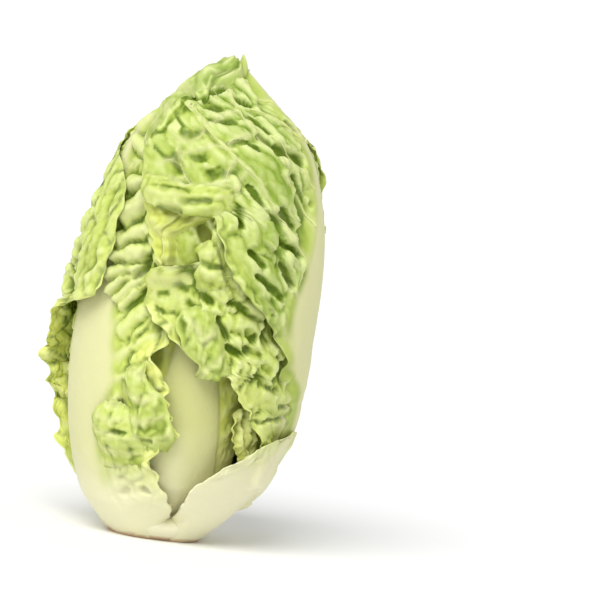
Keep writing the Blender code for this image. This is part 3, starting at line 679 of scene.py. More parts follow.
class Sheet:
    """A leaf's points on a grid of t, from foot to tip, and u, -1 at the left margin and 1 at the right."""

    def __init__(self, leaf, cover, look):
        self.leaf = leaf
        self.look = look
        self.spread()
        self.measure()
        self.lay(cover)
        self.shape()

    def spread(self):
        """Sets out the grid with steps of about the leaf's own size."""
        leaf = self.leaf
        heights = np.linspace(leaf.foot, leaf.tip, 60)[1:-1] * MM
        halves = [self.half_width(heights, np.full(heights.shape, side)) for side in (-1, 1)]
        wide = np.radians([np.max(half * shell_radius(heights) / MM) for half in halves])
        tall = (shell_run(leaf.tip * MM) - shell_run(leaf.foot * MM)) / MM
        left, right = (max(4, round(w / leaf.step / self.look.coarseness)) for w in wide)
        rows = max(8, round(tall / leaf.step / self.look.coarseness))
        self.u = np.concatenate([np.linspace(-1, 0, left + 1), np.linspace(0, 1, right + 1)[1:]])
        self.t = np.linspace(0, 1, rows + 1)
        t, self.side = np.meshgrid(self.t, self.u, indexing="ij")
        self.v = self.foot_v(self.side) + (self.end_v(self.side) - self.foot_v(self.side)) * t
        self.height = shell_height(self.v)
        self.azimuth = self.rib_azimuth(self.height) + self.side * self.half_width(self.height, self.side)

    def foot_v(self, u):
        """Where the lower margin lies."""
        return shell_v((self.leaf.foot + self.leaf.heel * rounding(u)) * MM)

    def end_v(self, u):
        """Where the top margin lies: the leaf's tip at the midrib and lower towards the sides."""
        drop = self.leaf.shoulder * rounding(u)
        wander = 0.5 * self.leaf.scallop * (ripple(u * 9, u * 0, self.leaf.seed + 70) + 1)
        return shell_v((self.leaf.tip - drop - wander * ease((1 - np.abs(u)) * 4)) * MM)

    def rib_azimuth(self, height):
        return between(self.leaf.rib, height)

    def half_width(self, height, side):
        """Degrees from the midrib to the margin on the side whose sign is given."""
        leaf = self.leaf
        rib = self.rib_azimuth(height)
        left, right = rib - between(leaf.left, height), between(leaf.right, height) - rib
        run = shell_run(height) / MM
        wander = 0
        for length, share in MARGIN_WANDER:
            wander = wander + share * ripple(run / length, np.where(side < 0, 3.5, 8.5), leaf.seed + 31)
        free = ease((height / MM - leaf.foot - 5) / 12) * leaf.scallop
        extra = np.degrees(free * wander * MM / np.maximum(shell_radius(height), 8 * MM))
        return np.maximum(np.where(side < 0, left, right) + extra, 1)

    def measure(self):
        """Finds each point's place on the blade in mm: beside the midrib and up the leaf."""
        self.across = np.radians(self.side * self.half_width(self.height, self.side))
        self.across = self.across * np.maximum(shell_radius(self.height), LEAST_RADIUS) / MM
        self.along = shell_run(self.height) / MM
        self.rib_half = between(self.leaf.rib_half, self.height)
        if self.leaf.rib_half_right:
            right = between(self.leaf.rib_half_right, self.height)
            self.rib_half = np.where(self.side < 0, self.rib_half, right)
        self.beyond = np.clip(np.abs(self.across) - self.rib_half, 0, None)
        nominal = np.clip(between(self.leaf.layer, self.height), 0.3, 1)
        flat = place(np.radians(self.azimuth), self.height, nominal)
        self.outward = facing(flat)
        edge = np.concatenate([flat[:, 0], flat[-1, 1:-1], flat[::-1, -1]]) / MM
        high = np.concatenate([self.height[:, 0], self.height[-1, 1:-1], self.height[::-1, -1]])
        leftwards = np.concatenate([self.side[:, 0], self.side[-1, 1:-1], self.side[::-1, -1]]) < 0
        left, right = (between(frill, high) for frill in (self.leaf.frill_left, self.leaf.frill_right))
        frill = np.where(leftwards, left, right)
        run = np.concatenate([[0], np.cumsum(np.linalg.norm(np.diff(edge, axis=0), axis=1))])
        self.away = np.empty(self.side.shape)
        self.edge_run = np.empty(self.side.shape)
        self.frill = np.empty(self.side.shape)
        for r, row in enumerate(flat / MM):
            apart = np.linalg.norm(row[:, None].astype(np.float32) - edge.astype(np.float32), axis=-1)
            near = apart.argmin(axis=1)
            self.away[r] = apart[np.arange(len(row)), near]
            self.edge_run[r] = run[near]
            self.frill[r] = frill[near]
        self.frill = blurred(self.frill, 4)

    def thickness(self):
        """Metres of the blade and its midrib, thinner towards the margin."""
        leaf = self.leaf
        midrib = np.exp(-((self.across / (0.9 * self.rib_half + 0.5)) ** 2))
        midrib = between(leaf.rib_depth, self.height) * midrib
        thin = 0.45 + 0.55 * ease(self.away / 5)
        thin = np.where(self.height < 14 * MM, 1, thin)
        return (between(leaf.blade, self.height) * thin + midrib * ease(self.away / 3 + 0.15)) * MM

    def blisters(self):
        """The bulges between the side veins in mm, and mm to the nearest side vein and to a bulge's edge."""
        leaf, a, m = self.leaf, self.across, self.along
        slant = np.where(self.side < 0, leaf.climb[0], leaf.climb[1])
        level = np.sqrt(1 + slant**2)
        rise = m - slant * np.abs(a) * (1 - VEIN_CURL * np.abs(a)) + self.vein_bend(a, m)
        row = rise / leaf.vein_step
        pitch = leaf.vein_step / level
        length = leaf.stretch * pitch
        warp = 0.20 * ripple(a / 5, m / 5, leaf.seed + 40) + 0.1 * ripple(a / 2.2, m / 2.2, leaf.seed + 41)
        seed = leaf.seed * 10 + np.where(self.side < 0, 0, 500)
        border, own = cells(row + warp, np.abs(a) * level / length - warp, pitch, length, (0.5, 0.8), seed)
        inward = np.clip(border / (0.45 * pitch), 0, 1)
        hump = (1 - (1 - inward) ** 2) ** 0.6
        height = leaf.blister * np.where(own < leaf.pits, PIT_DEPTH, 0.45 + 0.55 * own)
        part, part_own = cells(PARTS * row + 1.5 * warp, PARTS * np.abs(a) * level / length - warp,
                               pitch / PARTS, length / PARTS, (0.7, 0.8), leaf.seed * 10 + 600)
        crumple = 0.42 * leaf.blister * ease(part / (0.17 * pitch)) * (0.1 + 0.9 * part_own)
        crumple = crumple * ease((leaf.calm_from - np.abs(a)) / 15)
        return height * hump + crumple, np.abs(row - np.round(row)) * pitch, border

    def side_ridges(self, from_vein, border):
        """The side veins' height in mm, and how pale they and the bulges' edges are."""
        width = 0.55 + 1.7 * np.exp(-self.beyond / 9)
        ridge = self.leaf.vein_ridge * (0.15 + 0.85 * np.exp(-self.beyond / 13))
        ridge = ridge * np.exp(-((from_vein / width) ** 2))
        pale = np.exp(-((from_vein / (0.8 * width)) ** 2)) * (0.35 + 0.65 * np.exp(-self.beyond / 12))
        edges = 0.45 * np.exp(-((border / 0.35) ** 2)) * ease(self.beyond / 5)
        return ridge * ease(self.beyond / 1.5), np.maximum(pale, edges)

    def relief(self):
        """Metres by which the outer face stands out: veins, blisters, broad waves and the midrib."""
        leaf, a, m = self.leaf, self.across, self.along
        blisters, from_vein, border = self.blisters()
        ridge, vein = self.side_ridges(from_vein, border)
        small, small_own = cells(a / PEBBLE, m / PEBBLE, PEBBLE, PEBBLE, (0.8, 0.8), leaf.seed + 900)
        fine = leaf.fine * ease(small / 1.1) * (0.15 + 0.2 * small_own)
        broad = ripple(a / 26, m / 26, leaf.seed + 7) + 0.5 * ripple(a / 12, m / 12, leaf.seed + 8)
        bulges, dents, taken, pale = self.folds()
        usual = (blisters + ridge) * (1 - 0.8 * taken)
        self.vein = np.clip(np.maximum(0.6 * vein * (1 - 0.6 * taken), pale), 0, 1)
        free = ease(self.beyond / 6) * ease((self.height / MM - leaf.foot - 6) / 22)
        if leaf.part_of:
            free = ease(self.away / 2)
        self.bumps = (free * (usual + fine + leaf.swell * broad) + bulges + dents) * self.look.crinkle
        arch = 1 - (a / (self.rib_half + 0.5 * leaf.rib_edge)) ** 2
        arch = leaf.rib_rise * np.sqrt(np.clip(arch, 0, 1)) * ease((self.height / MM - leaf.foot) / 12)
        return (self.bumps - 0.5 * leaf.blister * free + arch) * MM

    def vein_bend(self, a, m):
        """How much the side veins stray, in mm."""
        return 2.2 * ripple(a / 17, m / 17, self.leaf.seed) + 1.0 * ripple(a / 7, m / 7, self.leaf.seed + 5)

    def folds(self):
        """The leaf's own bulges and dents in mm, where they are, and how pale they are."""
        bulges = np.zeros(self.side.shape)
        dents, taken, pale = bulges.copy(), bulges.copy(), bulges.copy()
        stray = [0.9 * ripple(self.across / 4, self.along / 4, seed) for seed in (301, 302)]
        for x_start, y_start, x_end, y_end, width, height, *paler in FOLDS.get(self.leaf.name, ()):
            ends = seen_at(self.leaf, (x_start, y_start)), seen_at(self.leaf, (x_end, y_end))
            away = self.from_line(*ends, stray) / width
            inside = np.clip(1 - away**2, 0, 1)
            if height > 0:
                bulges = np.maximum(bulges, height * inside**0.75)
                pale = np.maximum(pale, 0.8 * (paler[0] if paler else 0) * inside)
            else:
                dents = np.minimum(dents, height * inside**0.9)
            taken = np.maximum(taken, ease(1.6 - away))
        for girth, *line in VEINS.get(self.leaf.name, ()):
            places = [seen_at(self.leaf, pixel) for pixel in line]
            away = np.min([self.from_line(a, b) for a, b in zip(places, places[1:])], axis=0)
            ridge = np.exp(-((away / DRAWN_VEIN) ** 2))
            bulges = bulges + girth * ridge
            pale = np.maximum(pale, 0.5 * ridge)
        return bulges, dents, taken, pale

    def from_line(self, start, end, stray=(0, 0)):
        """Each point's distance in mm from a straight line on the blade, once moved by stray."""
        line = end - start
        x, y = self.across - start[0] + stray[0], self.along - start[1] + stray[1]
        along = np.clip((x * line[0] + y * line[1]) / max(line @ line, 1e-6), 0, 1)
        return np.hypot(x - along * line[0], y - along * line[1])

    def ruffle(self):
        """Metres by which the margins wave outwards."""
        leaf = self.leaf
        turn = 2 * math.pi * self.edge_run / leaf.wave
        turn = turn + 3.2 * ripple(self.edge_run / 15, self.edge_run * 0, leaf.seed)
        wave = 0.76 + 0.16 * np.sin(turn) + 0.08 * np.sin(2.3 * turn + 1)
        wave = wave + 0.16 * ripple(self.edge_run / 3.4, self.away / 2.6, leaf.seed + 60)
        near = np.exp(-self.away / RUFFLE_REACH)
        if not leaf.part_of:
            near = near * ease((self.height / MM - leaf.foot - 4) / 12)
        self.flutter = blurred(self.frill * near * np.sin(1.7 * turn + 2), 2) * self.look.frill * MM
        self.raised = blurred(self.frill * near * wave, 2) * self.look.frill * MM
        return self.raised

    def lay(self, cover):
        """Works out the layer of every point's outer face."""
        leaf = self.leaf
        room = layer_room(self.height)
        relief, thick, left = self.relief(), self.thickness(), self.side < 0
        out = np.abs(self.side)
        lip = between(leaf.lip, self.height) * left
        inward = np.clip(1 - self.away / np.maximum(lip, 0.01), 0, 1)
        rolled_in = lip * (1 - np.sqrt(1 - inward**2)) * MM
        wanted = between(leaf.layer, self.height) - np.where(left, leaf.tuck[0], leaf.tuck[1]) * out**1.5
        wanted = wanted - between(leaf.hug, self.height) * left * out**3
        wanted = wanted + (relief - rolled_in - thick) / room
        beneath = cover.at(self.azimuth, self.v) + GAP / room
        sunk = cover.at(self.azimuth, self.v, loose=False) - (thick + SUNK_DEPTH) / room
        outer = smooth_max(wanted, beneath, SETTLING)
        if leaf.dome:
            domed = relief + leaf.dome * ease(self.away / 4.5) * MM
            outer = beneath + np.maximum(domed, 0) / room
            outer = outer + (sunk - outer) * self.sunkness()
        outer = outer + (self.ruffle() + thick) / room
        share = between(leaf.into, self.height) * left
        if leaf.from_base:
            depth, top, rise = FOOT_TUCK
            share = np.maximum(share, depth * (1 - ease((self.height / MM - top) / rise)))
        self.outer = outer + (sunk - outer) * (share * out**6)
        self.thick = thick

    def sunkness(self):
        """1 at the margins that go into the leaf that the lobe belongs to, 0 away from them."""
        left, right, low, high = self.leaf.sunk
        span = np.radians(self.half_width(self.height, self.side)) * shell_radius(self.height) / MM
        from_side = (1 - np.abs(self.side)) * span
        from_low = (shell_run(self.height) - shell_run(shell_height(self.foot_v(self.side)))) / MM
        from_high = (shell_run(shell_height(self.end_v(self.side))) - shell_run(self.height)) / MM
        sunk = np.zeros(self.side.shape)
        beside = np.where(self.side < 0, left, right)
        for reach, away in ((beside, from_side), (low, from_low), (high, from_high)):
            sunk = np.maximum(sunk, np.where(reach > 0, 1 - ease(away / np.maximum(reach, 0.01)), 0))
        return sunk

    def shape(self):
        """Turns layers into points, and works out which way the face looks at each of them."""
        turn = np.radians(self.azimuth)
        level = 0 * turn
        east = np.stack([np.cos(turn), np.sin(turn), level], -1)
        self.points = place(turn, self.height, self.outer) + 0.45 * east * self.flutter[..., None]
        normal = facing(self.points)
        outwards = np.stack([np.sin(turn), -np.cos(turn), level], -1)
        near_base = ease(1 - (self.height / MM - 1) / 6)[..., None] * self.leaf.from_base
        normal = normal * (1 - near_base) + outwards * near_base
        self.normal = normal / np.linalg.norm(normal, axis=-1, keepdims=True)
        down = np.stack([level, level, level - 1], -1)
        down = down - self.normal * (down * self.normal).sum(axis=-1, keepdims=True)
        hang = self.leaf.droop * np.clip(blurred(self.bumps, 1), -1, 3) * MM * ease(self.away / 12)
        self.points = untangled(self.points + down * hang[..., None], self.outward)
        self.back = self.points - self.normal * self.thick[..., None]
        self.back[..., 2] = np.maximum(self.back[..., 2], 0)
        # Painted light: fold marks the hollows of the relief, where the skin paints shade in darker green,
        # and crest marks the bulges' tops, where it paints a paler highlight.
        hollow = sum((blurred(self.bumps, times) - self.bumps) / deep for times, deep in HOLLOWS)
        self.fold = np.clip(hollow, 0, 1)
        self.crest = np.clip(-hollow, 0, 1)

    def outer_at(self, v, azimuth):
        """The outer layer at v and azimuths in degrees, and which of those places the leaf covers."""
        row, column, inside = self.grid_place(v, azimuth)
        return from_grid(self.outer, row, column), inside

    def grid_place(self, v, azimuth):
        """The fractional row and column at v and azimuths in degrees, and whether the leaf is there."""
        height = shell_height(v)
        off = turned(azimuth - self.rib_azimuth(height))
        u = off / self.half_width(height, off)
        start = self.foot_v(np.clip(u, -1, 1))
        t = (v - start) / (self.end_v(np.clip(u, -1, 1)) - start)
        inside = (np.abs(u) <= 1) & (t >= 0) & (t <= 1)
        column = np.interp(np.clip(u, -1, 1), self.u, np.arange(len(self.u)))
        return np.clip(t, 0, 1) * (len(self.t) - 1), column, inside


def leaf_mesh(sheets, name):
    """One mesh of a leaf and its lobes, each closed, with what the material reads as attributes."""
    made = [sheet_faces(sheet) for sheet in sheets]
    starts = np.cumsum([0] + [len(points) for points, _, _ in made])
    points = np.concatenate([points for points, _, _ in made])
    faces = np.concatenate([faces + start for (_, faces, _), start in zip(made, starts)])
    mesh = bpy.data.meshes.new(name)
    mesh.vertices.add(len(points))
    mesh.vertices.foreach_set("co", points.astype(np.float32).ravel())
    mesh.loops.add(faces.size)
    mesh.loops.foreach_set("vertex_index", faces.astype(np.int32).ravel())
    mesh.polygons.add(len(faces))
    mesh.polygons.foreach_set("loop_start", np.arange(0, faces.size, 3, dtype=np.int32))
    mesh.update(calc_edges=True)
    mesh.shade_smooth()
    for key in made[0][2]:
        layer = mesh.attributes.new(key, "FLOAT", "POINT")
        joined = np.concatenate([values[key] for _, _, values in made])
        layer.data.foreach_set("value", joined.astype(np.float32))
    return mesh


def sheet_faces(sheet):
    """Points, faces and attribute values of a sheet's closed surface."""
    rows, columns = sheet.side.shape
    count = rows * columns
    points = np.concatenate([sheet.points.reshape(-1, 3), sheet.back.reshape(-1, 3)])
    index = np.arange(count).reshape(rows, columns)
    corners = (index[:-1, :-1], index[:-1, 1:], index[1:, 1:], index[1:, :-1])
    a, b, c, d = (corner.ravel() for corner in corners)
    shorter = np.linalg.norm(points[a] - points[c], axis=1) <= np.linalg.norm(points[b] - points[d], axis=1)
    first = np.where(shorter[:, None], np.stack([a, b, c], 1), np.stack([a, b, d], 1))
    second = np.where(shorter[:, None], np.stack([a, c, d], 1), np.stack([b, c, d], 1))
    front = np.concatenate([first, second])
    back = front[:, ::-1] + count
    rim = np.concatenate([index[0], index[1:, -1], index[-1, -2::-1], index[-2:0:-1, 0]])
    after = np.roll(rim, -1)
    side = [np.stack([rim, rim + count, after + count], 1), np.stack([rim, after + count, after], 1)]
    faces = np.concatenate([front, back, *side])
    rib = 1 - ease((np.abs(sheet.across) - sheet.rib_half) / sheet.leaf.rib_edge + 0.5)
    rib = rib * (0 if sheet.leaf.part_of else 1)
    edge = np.exp(-sheet.away / 1.2)
    low, high = sheet.leaf.white
    white = sheet.height / MM + 3 * ripple(sheet.across / 6, sheet.along / 9, 77)
    white = 1 - ease((white - low) / (high - low))
    # The ruffles' lime is partly their own yellow-green and partly painted light, as if light fell onto them
    # and shone through them; a leaf's own lime is its colour.
    lime = np.maximum(sheet.leaf.lime, ease(sheet.raised / (3 * MM)))
    near = ease(1.5 - (np.abs(sheet.across) + 6 * ripple(sheet.across / 9, sheet.along / 9, 5)) / 40)
    near = near * ease(sheet.beyond / 9)
    deep = np.maximum(sheet.leaf.deep, sheet.leaf.near_deep * near)
    values = {"rib": rib, "vein": sheet.vein, "fold": sheet.fold, "crest": sheet.crest, "edge": edge,
              "white": white, "lime": lime, "deep": deep}
    return points, faces, {key: np.tile(value.ravel(), 2) for key, value in values.items()}


# Bulges of a leaf and, with a height below zero, dents, each along a line. A row gives the places in the
# front picture of the line's two ends, in pixels, then how far from the line it ends and its height, both
# in mm, and last how much of the midrib's colour it has, where it has some.
FOLDS = {
    "leaf_left": (
        # Thick pale side veins on the upper left, and the dents to their right.
        (133, 183, 151, 180, 3.0, 2.8, 0.55), (129, 213, 150, 196, 5.0, 4.2, 0.65),
        (121, 239, 147, 228, 3.4, 3.6, 0.5), (147, 228, 161, 218, 2.6, 2.0, 0.3),
        (118, 254, 140, 252, 3.0, 3.6, 0.5), (140, 252, 157, 242, 2.4, 1.8, 0.2),
        (113, 272, 124, 266, 2.4, 3.0, 0.5), (124, 266, 137, 267, 2.2, 2.6, 0.4),
        (113, 288, 122, 278, 2.2, 3.0, 0.5), (122, 278, 138, 272, 2.0, 1.8, 0.5),
        (116, 299, 137, 279, 2.0, 2.0, 0.7), (120, 306, 133, 292, 2.0, 1.8, 0.6),
        (122, 330, 140, 312, 3.0, 1.8, 0.3), (147, 128, 153, 122, 3.5, 2.2, 0.3),
        (150, 112, 160, 106, 3.2, 2.0, 0.25), (140, 143, 148, 150, 3.0, 2.8, 0.35),
        (136, 277, 163, 238, 1.6, -2.0), (140, 296, 166, 252, 1.4, -1.6),
        # Pits at the foot of its ruffled margin.
        (123, 491, 125, 492, 1.6, -1.2), (144, 489, 146, 490, 1.6, -1.2),
    ),
    "leaf_back_left": (
        # Bulges along the left edge of the flap, then dents and a swelling in it.
        (124, 140, 120, 150, 3.0, 1.6), (110, 166, 108, 176, 3.2, 1.8), (101, 192, 99, 202, 3.2, 2.0),
        (89, 215, 87, 226, 3.4, 2.4), (83, 244, 80, 254, 3.0, 1.8), (74, 272, 73, 288, 3.6, 2.6),
        (101, 204, 103, 200, 1.6, -1.8), (97, 208, 80, 256, 0.9, -1.2), (80, 256, 78, 292, 0.9, -1.2),
        (112, 200, 96, 262, 3.0, 0.8),
    ),
    "left_upper_lobe": (
        # A crease across it.
        (121, 443, 152, 442, 0.9, -1.0),
    ),
    "left_lower_lobe": (
        # A short crease.
        (119, 432, 128, 434, 0.9, -1.0),
    ),
    "leaf_fold": (
        # A swelling of the yellow fold, and a dent beside it.
        (188, 240, 192, 256, 3.4, 0.8), (203, 228, 209, 243, 2.6, -3.6),
    ),
    "fold_lump": (
        # Its two lumps, and the crease between them.
        (206, 255, 213, 254, 2.6, 1.2), (208, 276, 222, 277, 2.8, 1.4), (204, 266, 221, 267, 1.3, -1.0),
    ),
    "cap_lip": (
        # Pillows of the cap's lower edge.
        (158, 200, 178, 203, 4.0, 1.6, 0.35), (190, 209, 216, 211, 3.0, 1.4),
        # Its dark folds and pits.
        (171, 192, 182, 191, 2.2, -0.8), (185, 202, 207, 201, 1.5, -1.0), (164, 209, 181, 210, 1.0, -1.4),
    ),
    "leaf_right": (
        # The cap's pillows, from its lower edge up, and those to its right.
        (186, 194, 222, 190, 4.0, 1.2), (158, 170, 172, 180, 5.5, 1.2), (192, 168, 200, 178, 5.0, 1.2),
        (212, 150, 228, 160, 4.5, 1.8), (188, 146, 206, 140, 3.4, 1.2), (166, 148, 174, 142, 4.0, 1.0),
        (216, 130, 246, 132, 3.2, 1.8), (212, 113, 232, 112, 2.6, 1.4), (188, 122, 202, 120, 3.0, 1.2),
        (258, 168, 280, 196, 6.5, 1.6), (250, 150, 270, 162, 4.0, 1.4), (262, 118, 280, 140, 2.2, 2.2),
        (280, 128, 298, 146, 1.8, 1.8), (243, 205, 252, 238, 3.6, 1.8), (256, 210, 272, 238, 3.6, 2.2),
        (265, 203, 284, 208, 3.4, 1.6), (236, 245, 262, 290, 4.0, 1.8), (262, 262, 280, 300, 3.2, 1.6),
        # Its dark folds and pits.
        (242, 100, 245, 102, 2.0, -2.8), (250, 118, 268, 131, 1.5, -2.8), (225, 142, 245, 141, 1.1, -2.0),
        (245, 141, 260, 148, 1.3, -2.4), (263, 136, 274, 145, 1.3, -2.4), (268, 97, 287, 119, 1.3, -2.6),
        (263, 109, 276, 116, 1.2, -1.2), (288, 125, 296, 133, 1.5, -2.2), (281, 150, 302, 162, 2.6, -3.8),
        (206, 106, 219, 106, 2.4, -1.0), (214, 121, 234, 121, 2.0, -0.9), (185, 136, 198, 133, 2.0, -0.8),
        (193, 156, 206, 152, 2.2, -0.5), (211, 175, 236, 167, 2.0, -0.7), (250, 186, 261, 202, 1.6, -3.4),
        (237, 206, 240, 226, 1.3, -2.4), (284, 212, 291, 224, 2.4, -3.4), (294, 178, 306, 202, 1.2, -2.2),
        (282, 240, 296, 254, 1.8, -2.4), (250, 252, 262, 264, 1.6, -2.4), (256, 275, 282, 298, 1.8, -2.4),
        (280, 265, 292, 282, 1.6, -2.2),
        # The roll along the top left margin.
        (160, 130, 182, 100, 2.4, 1.8), (182, 98, 240, 68, 2.8, 2.0), (156, 142, 184, 104, 0.9, -1.4),
        (184, 103, 228, 86, 0.9, -1.6),
    ),
    "crown_roll": (
        # Creases and swellings along the roll.
        (168, 116, 196, 91, 0.8, -1.0), (192, 94, 238, 74, 0.8, -1.2), (205, 84, 240, 66, 0.7, -0.9),
        (178, 106, 190, 94, 1.8, 1.2), (203, 86, 212, 78, 2.2, 1.4), (228, 76, 238, 68, 2.2, 1.4),
    ),
    "leaf_right_inner": (
        # Blisters and pits of the leaf that laps over the middle.
        (160, 285, 178, 300, 6.5, 1.6), (156, 281, 188, 279, 2.6, 1.0, 0.6),
        (156, 281, 158, 300, 2.2, 0.9, 0.4), (163, 293, 172, 290, 1.2, -1.2),
        (180, 284, 187, 290, 1.2, -1.2), (160, 309, 176, 312, 1.2, -1.0), (190, 300, 197, 312, 1.4, -1.4),
        (195, 325, 212, 350, 6.5, 1.6), (212, 285, 232, 305, 3.4, 2.0), (216, 238, 240, 290, 3.6, 2.2),
        (246, 305, 262, 312, 2.6, 2.0), (228, 318, 250, 328, 3.0, 1.8), (256, 352, 270, 368, 4.0, 1.6),
        (250, 395, 285, 400, 5.5, 1.4, 0.2), (258, 420, 288, 424, 5.5, 1.2, 0.2),
        (205, 295, 209, 300, 2.4, -1.8), (228, 300, 244, 309, 1.8, -2.2), (218, 318, 226, 336, 1.5, -1.8),
        (228, 346, 238, 352, 2.0, -1.9), (246, 331, 252, 336, 2.2, -1.7), (246, 347, 256, 352, 2.0, -1.6),
        (262, 366, 266, 370, 1.8, -1.3), (256, 384, 276, 388, 1.4, -1.3), (276, 405, 298, 402, 1.0, -1.4),
        (245, 420, 290, 412, 1.0, -1.2),
    ),
}

# Thin raised veins of a leaf: the radius in mm where each starts, then places in the front picture that it
# runs through, in pixels.
VEINS = {
    "leaf_right": (
        (0.34, (192, 108), (199, 114), (206, 125), (216, 136), (226, 145), (236, 156), (248, 168),
         (259, 179), (268, 196), (278, 212), (290, 236)),
        (0.34, (229, 86), (232, 98), (239, 108), (248, 120), (258, 132), (271, 144), (281, 155),
         (289, 172), (296, 189), (304, 202)),
        (0.22, (171, 132), (179, 139), (179, 152), (179, 164), (184, 176), (192, 184), (202, 186),
         (212, 183), (225, 182), (236, 186)),
        (0.2, (206, 125), (198, 136), (188, 140), (179, 139)),
        (0.18, (179, 164), (168, 163), (158, 166)),
        (0.18, (184, 176), (174, 178), (160, 182)),
        (0.2, (236, 156), (229, 170), (225, 182)),
        (0.18, (202, 186), (203, 196), (208, 206)),
        (0.18, (226, 145), (212, 144), (200, 148), (180, 152)),
        (0.2, (248, 168), (240, 180), (238, 196)),
        (0.2, (239, 108), (226, 112), (206, 125)),
        (0.2, (258, 132), (244, 134), (228, 144)),
    ),
}


@dataclass(frozen=True)
class Look:
    """What the sheets depend on besides the leaves' own numbers."""

    crinkle: float
    frill: float
    coarseness: float


@functools.lru_cache(maxsize=2)
def laid_sheets(look):
    """Every leaf's sheet, laid from the inside out."""
    cover = Cover()
    sheets = {}
    for leaf in LEAVES:
        sheet = Sheet(leaf, cover, look)
        cover.add(sheet)
        sheets.setdefault(leaf.node, []).append(sheet)
    return sheets


def on_face(sheet, across, along):
    """Points just under a sheet's outer face, and mm to its margin, at mm beside its midrib and mm up."""
    height = height_at_run(along * MM)
    radius = np.maximum(shell_radius(height), LEAST_RADIUS)
    azimuth = sheet.rib_azimuth(height) + np.degrees(across * MM / radius)
    row, column, inside = sheet.grid_place(shell_v(height), azimuth)
    face = sheet.points - SUNKEN_VEIN * MM * sheet.normal
    return from_grid(face, row, column), np.where(inside, from_grid(sheet.away, row, column), -1)


def side_veins(sheet):
    """Side veins from the midrib to the margin: for each its points and its girth there, in metres."""
    leaf, veins = sheet.leaf, []
    out = np.arange(0, leaf.veined + 1, 0.9)
    lowest = max(leaf.foot + 14, leaf.white[1])
    for side, climb in zip((-1, 1), leaf.climb):
        for k in range(-8, int(190 / leaf.vein_step)):
            level = k * leaf.vein_step + climb * out * (1 - VEIN_CURL * out)
            along = level
            for _ in range(4):
                along = level - sheet.vein_bend(side * out, along)
            points, away = on_face(sheet, side * out, along)
            height = height_at_run(along * MM)
            beyond = out - between(leaf.rib_half, height)
            on = (away > 1.2) & (beyond > 0) & (height / MM > lowest)
            start = int(on.argmax())
            end = start + int(np.append(~on[start:], True).argmax())
            if end - start > 6:
                girth = 0.16 + 0.5 * np.exp(-beyond[start:end] / 12)
                girth = girth * np.clip(np.arange(end - start, 0, -1) / 8, 0, 1)
                veins.append((points[start:end], girth * MM))
    return veins


def drawn_veins(sheet):
    """The veins that VEINS lists for a sheet's leaf, as side_veins gives its own."""
    veins = []
    for girth, *line in VEINS.get(sheet.leaf.name, ()):
        places = np.array([seen_at(sheet.leaf, pixel) for pixel in line])
        at = np.linspace(0, len(places) - 1, 10 * len(places))
        across, along = (between(list(enumerate(column)), at * MM) for column in places.T)
        points, away = on_face(sheet, across, along)
        veins.append((points, girth * np.linspace(1, 0.6, len(at)) * (away > 0.3) * MM))
    return veins


def grown_tubes(name, lines, thickness):
    """One mesh of tubes along lines, each given by its points and its girth there."""
    points = np.concatenate([line for line, _ in lines])
    starts = np.cumsum([0] + [len(line) for line, _ in lines])
    edges = [(k, k + 1) for start, end in zip(starts, starts[1:]) for k in range(start, end - 1)]
    mesh = bpy.data.meshes.new(name)
    mesh.from_pydata(points.tolist(), edges, [])
    mesh.attributes.new("girth", "FLOAT", "POINT").data.foreach_set(
        "value", np.concatenate([girth for _, girth in lines]).astype(np.float32))
    tree = bpy.data.node_groups.new(name, "GeometryNodeTree")
    tree.interface.new_socket("Geometry", in_out="INPUT", socket_type="NodeSocketGeometry")
    scale = tree.interface.new_socket("Thickness", in_out="INPUT", socket_type="NodeSocketFloat")
    skin = tree.interface.new_socket("Material", in_out="INPUT", socket_type="NodeSocketMaterial")
    tree.interface.new_socket("Geometry", in_out="OUTPUT", socket_type="NodeSocketGeometry")
    nodes = NodeTree(tree)
    given = tree.nodes.new("NodeGroupInput")
    path = nodes.node("GeometryNodeMeshToCurve", None, {"Mesh": Wire(nodes, given.outputs["Geometry"])})
    girth = nodes.node("GeometryNodeInputNamedAttribute", {"data_type": "FLOAT"}, {"Name": "girth"})
    radius = girth * Wire(nodes, given.outputs["Thickness"])
    ring = nodes.node("GeometryNodeCurvePrimitiveCircle", None, {"Resolution": 6, "Radius": 1.0})
    tube = nodes.node("GeometryNodeCurveToMesh", None,
                      {"Curve": path, "Profile Curve": ring, "Scale": radius, "Fill Caps": True})
    tube = nodes.node("GeometryNodeRealizeInstances", None, {"Geometry": tube})
    tube = nodes.node("GeometryNodeSetMaterial", None,
                      {"Geometry": tube, "Material": Wire(nodes, given.outputs["Material"])})
    nodes.node("NodeGroupOutput", None, {"Geometry": tube})
    return evaluated(name, mesh, tree, {scale.identifier: thickness, skin.identifier: None})


def evaluated(name, mesh, tree, inputs):
    """The mesh that a geometry tree makes of another one."""
    source = bpy.data.objects.new(name, mesh)
    bpy.context.scene.collection.objects.link(source)
    modifier = source.modifiers.new(name, "NODES")
    modifier.node_group = tree
    for identifier, value in inputs.items():
        modifier[identifier] = value
    made = bpy.data.meshes.new_from_object(source.evaluated_get(bpy.context.evaluated_depsgraph_get()))
    bpy.data.objects.remove(source)
    bpy.data.meshes.remove(mesh)
    made.name = name
    made.shade_smooth()
    return made


class Wire:
    """A socket that can be written into Python sums."""

    def __init__(self, tree, socket):
        self.tree = tree
        self.socket = socket

    def maths(self, operation, *values):
        return self.tree.node("ShaderNodeMath", {"operation": operation}, dict(enumerate(values)))

    def __add__(self, other):
        return self.maths("ADD", self, other)

    def __sub__(self, other):
        return self.maths("SUBTRACT", self, other)

    def __rsub__(self, other):
        return self.maths("SUBTRACT", other, self)

    def __mul__(self, other):
        return self.maths("MULTIPLY", self, other)

    __radd__ = __add__
    __rmul__ = __mul__


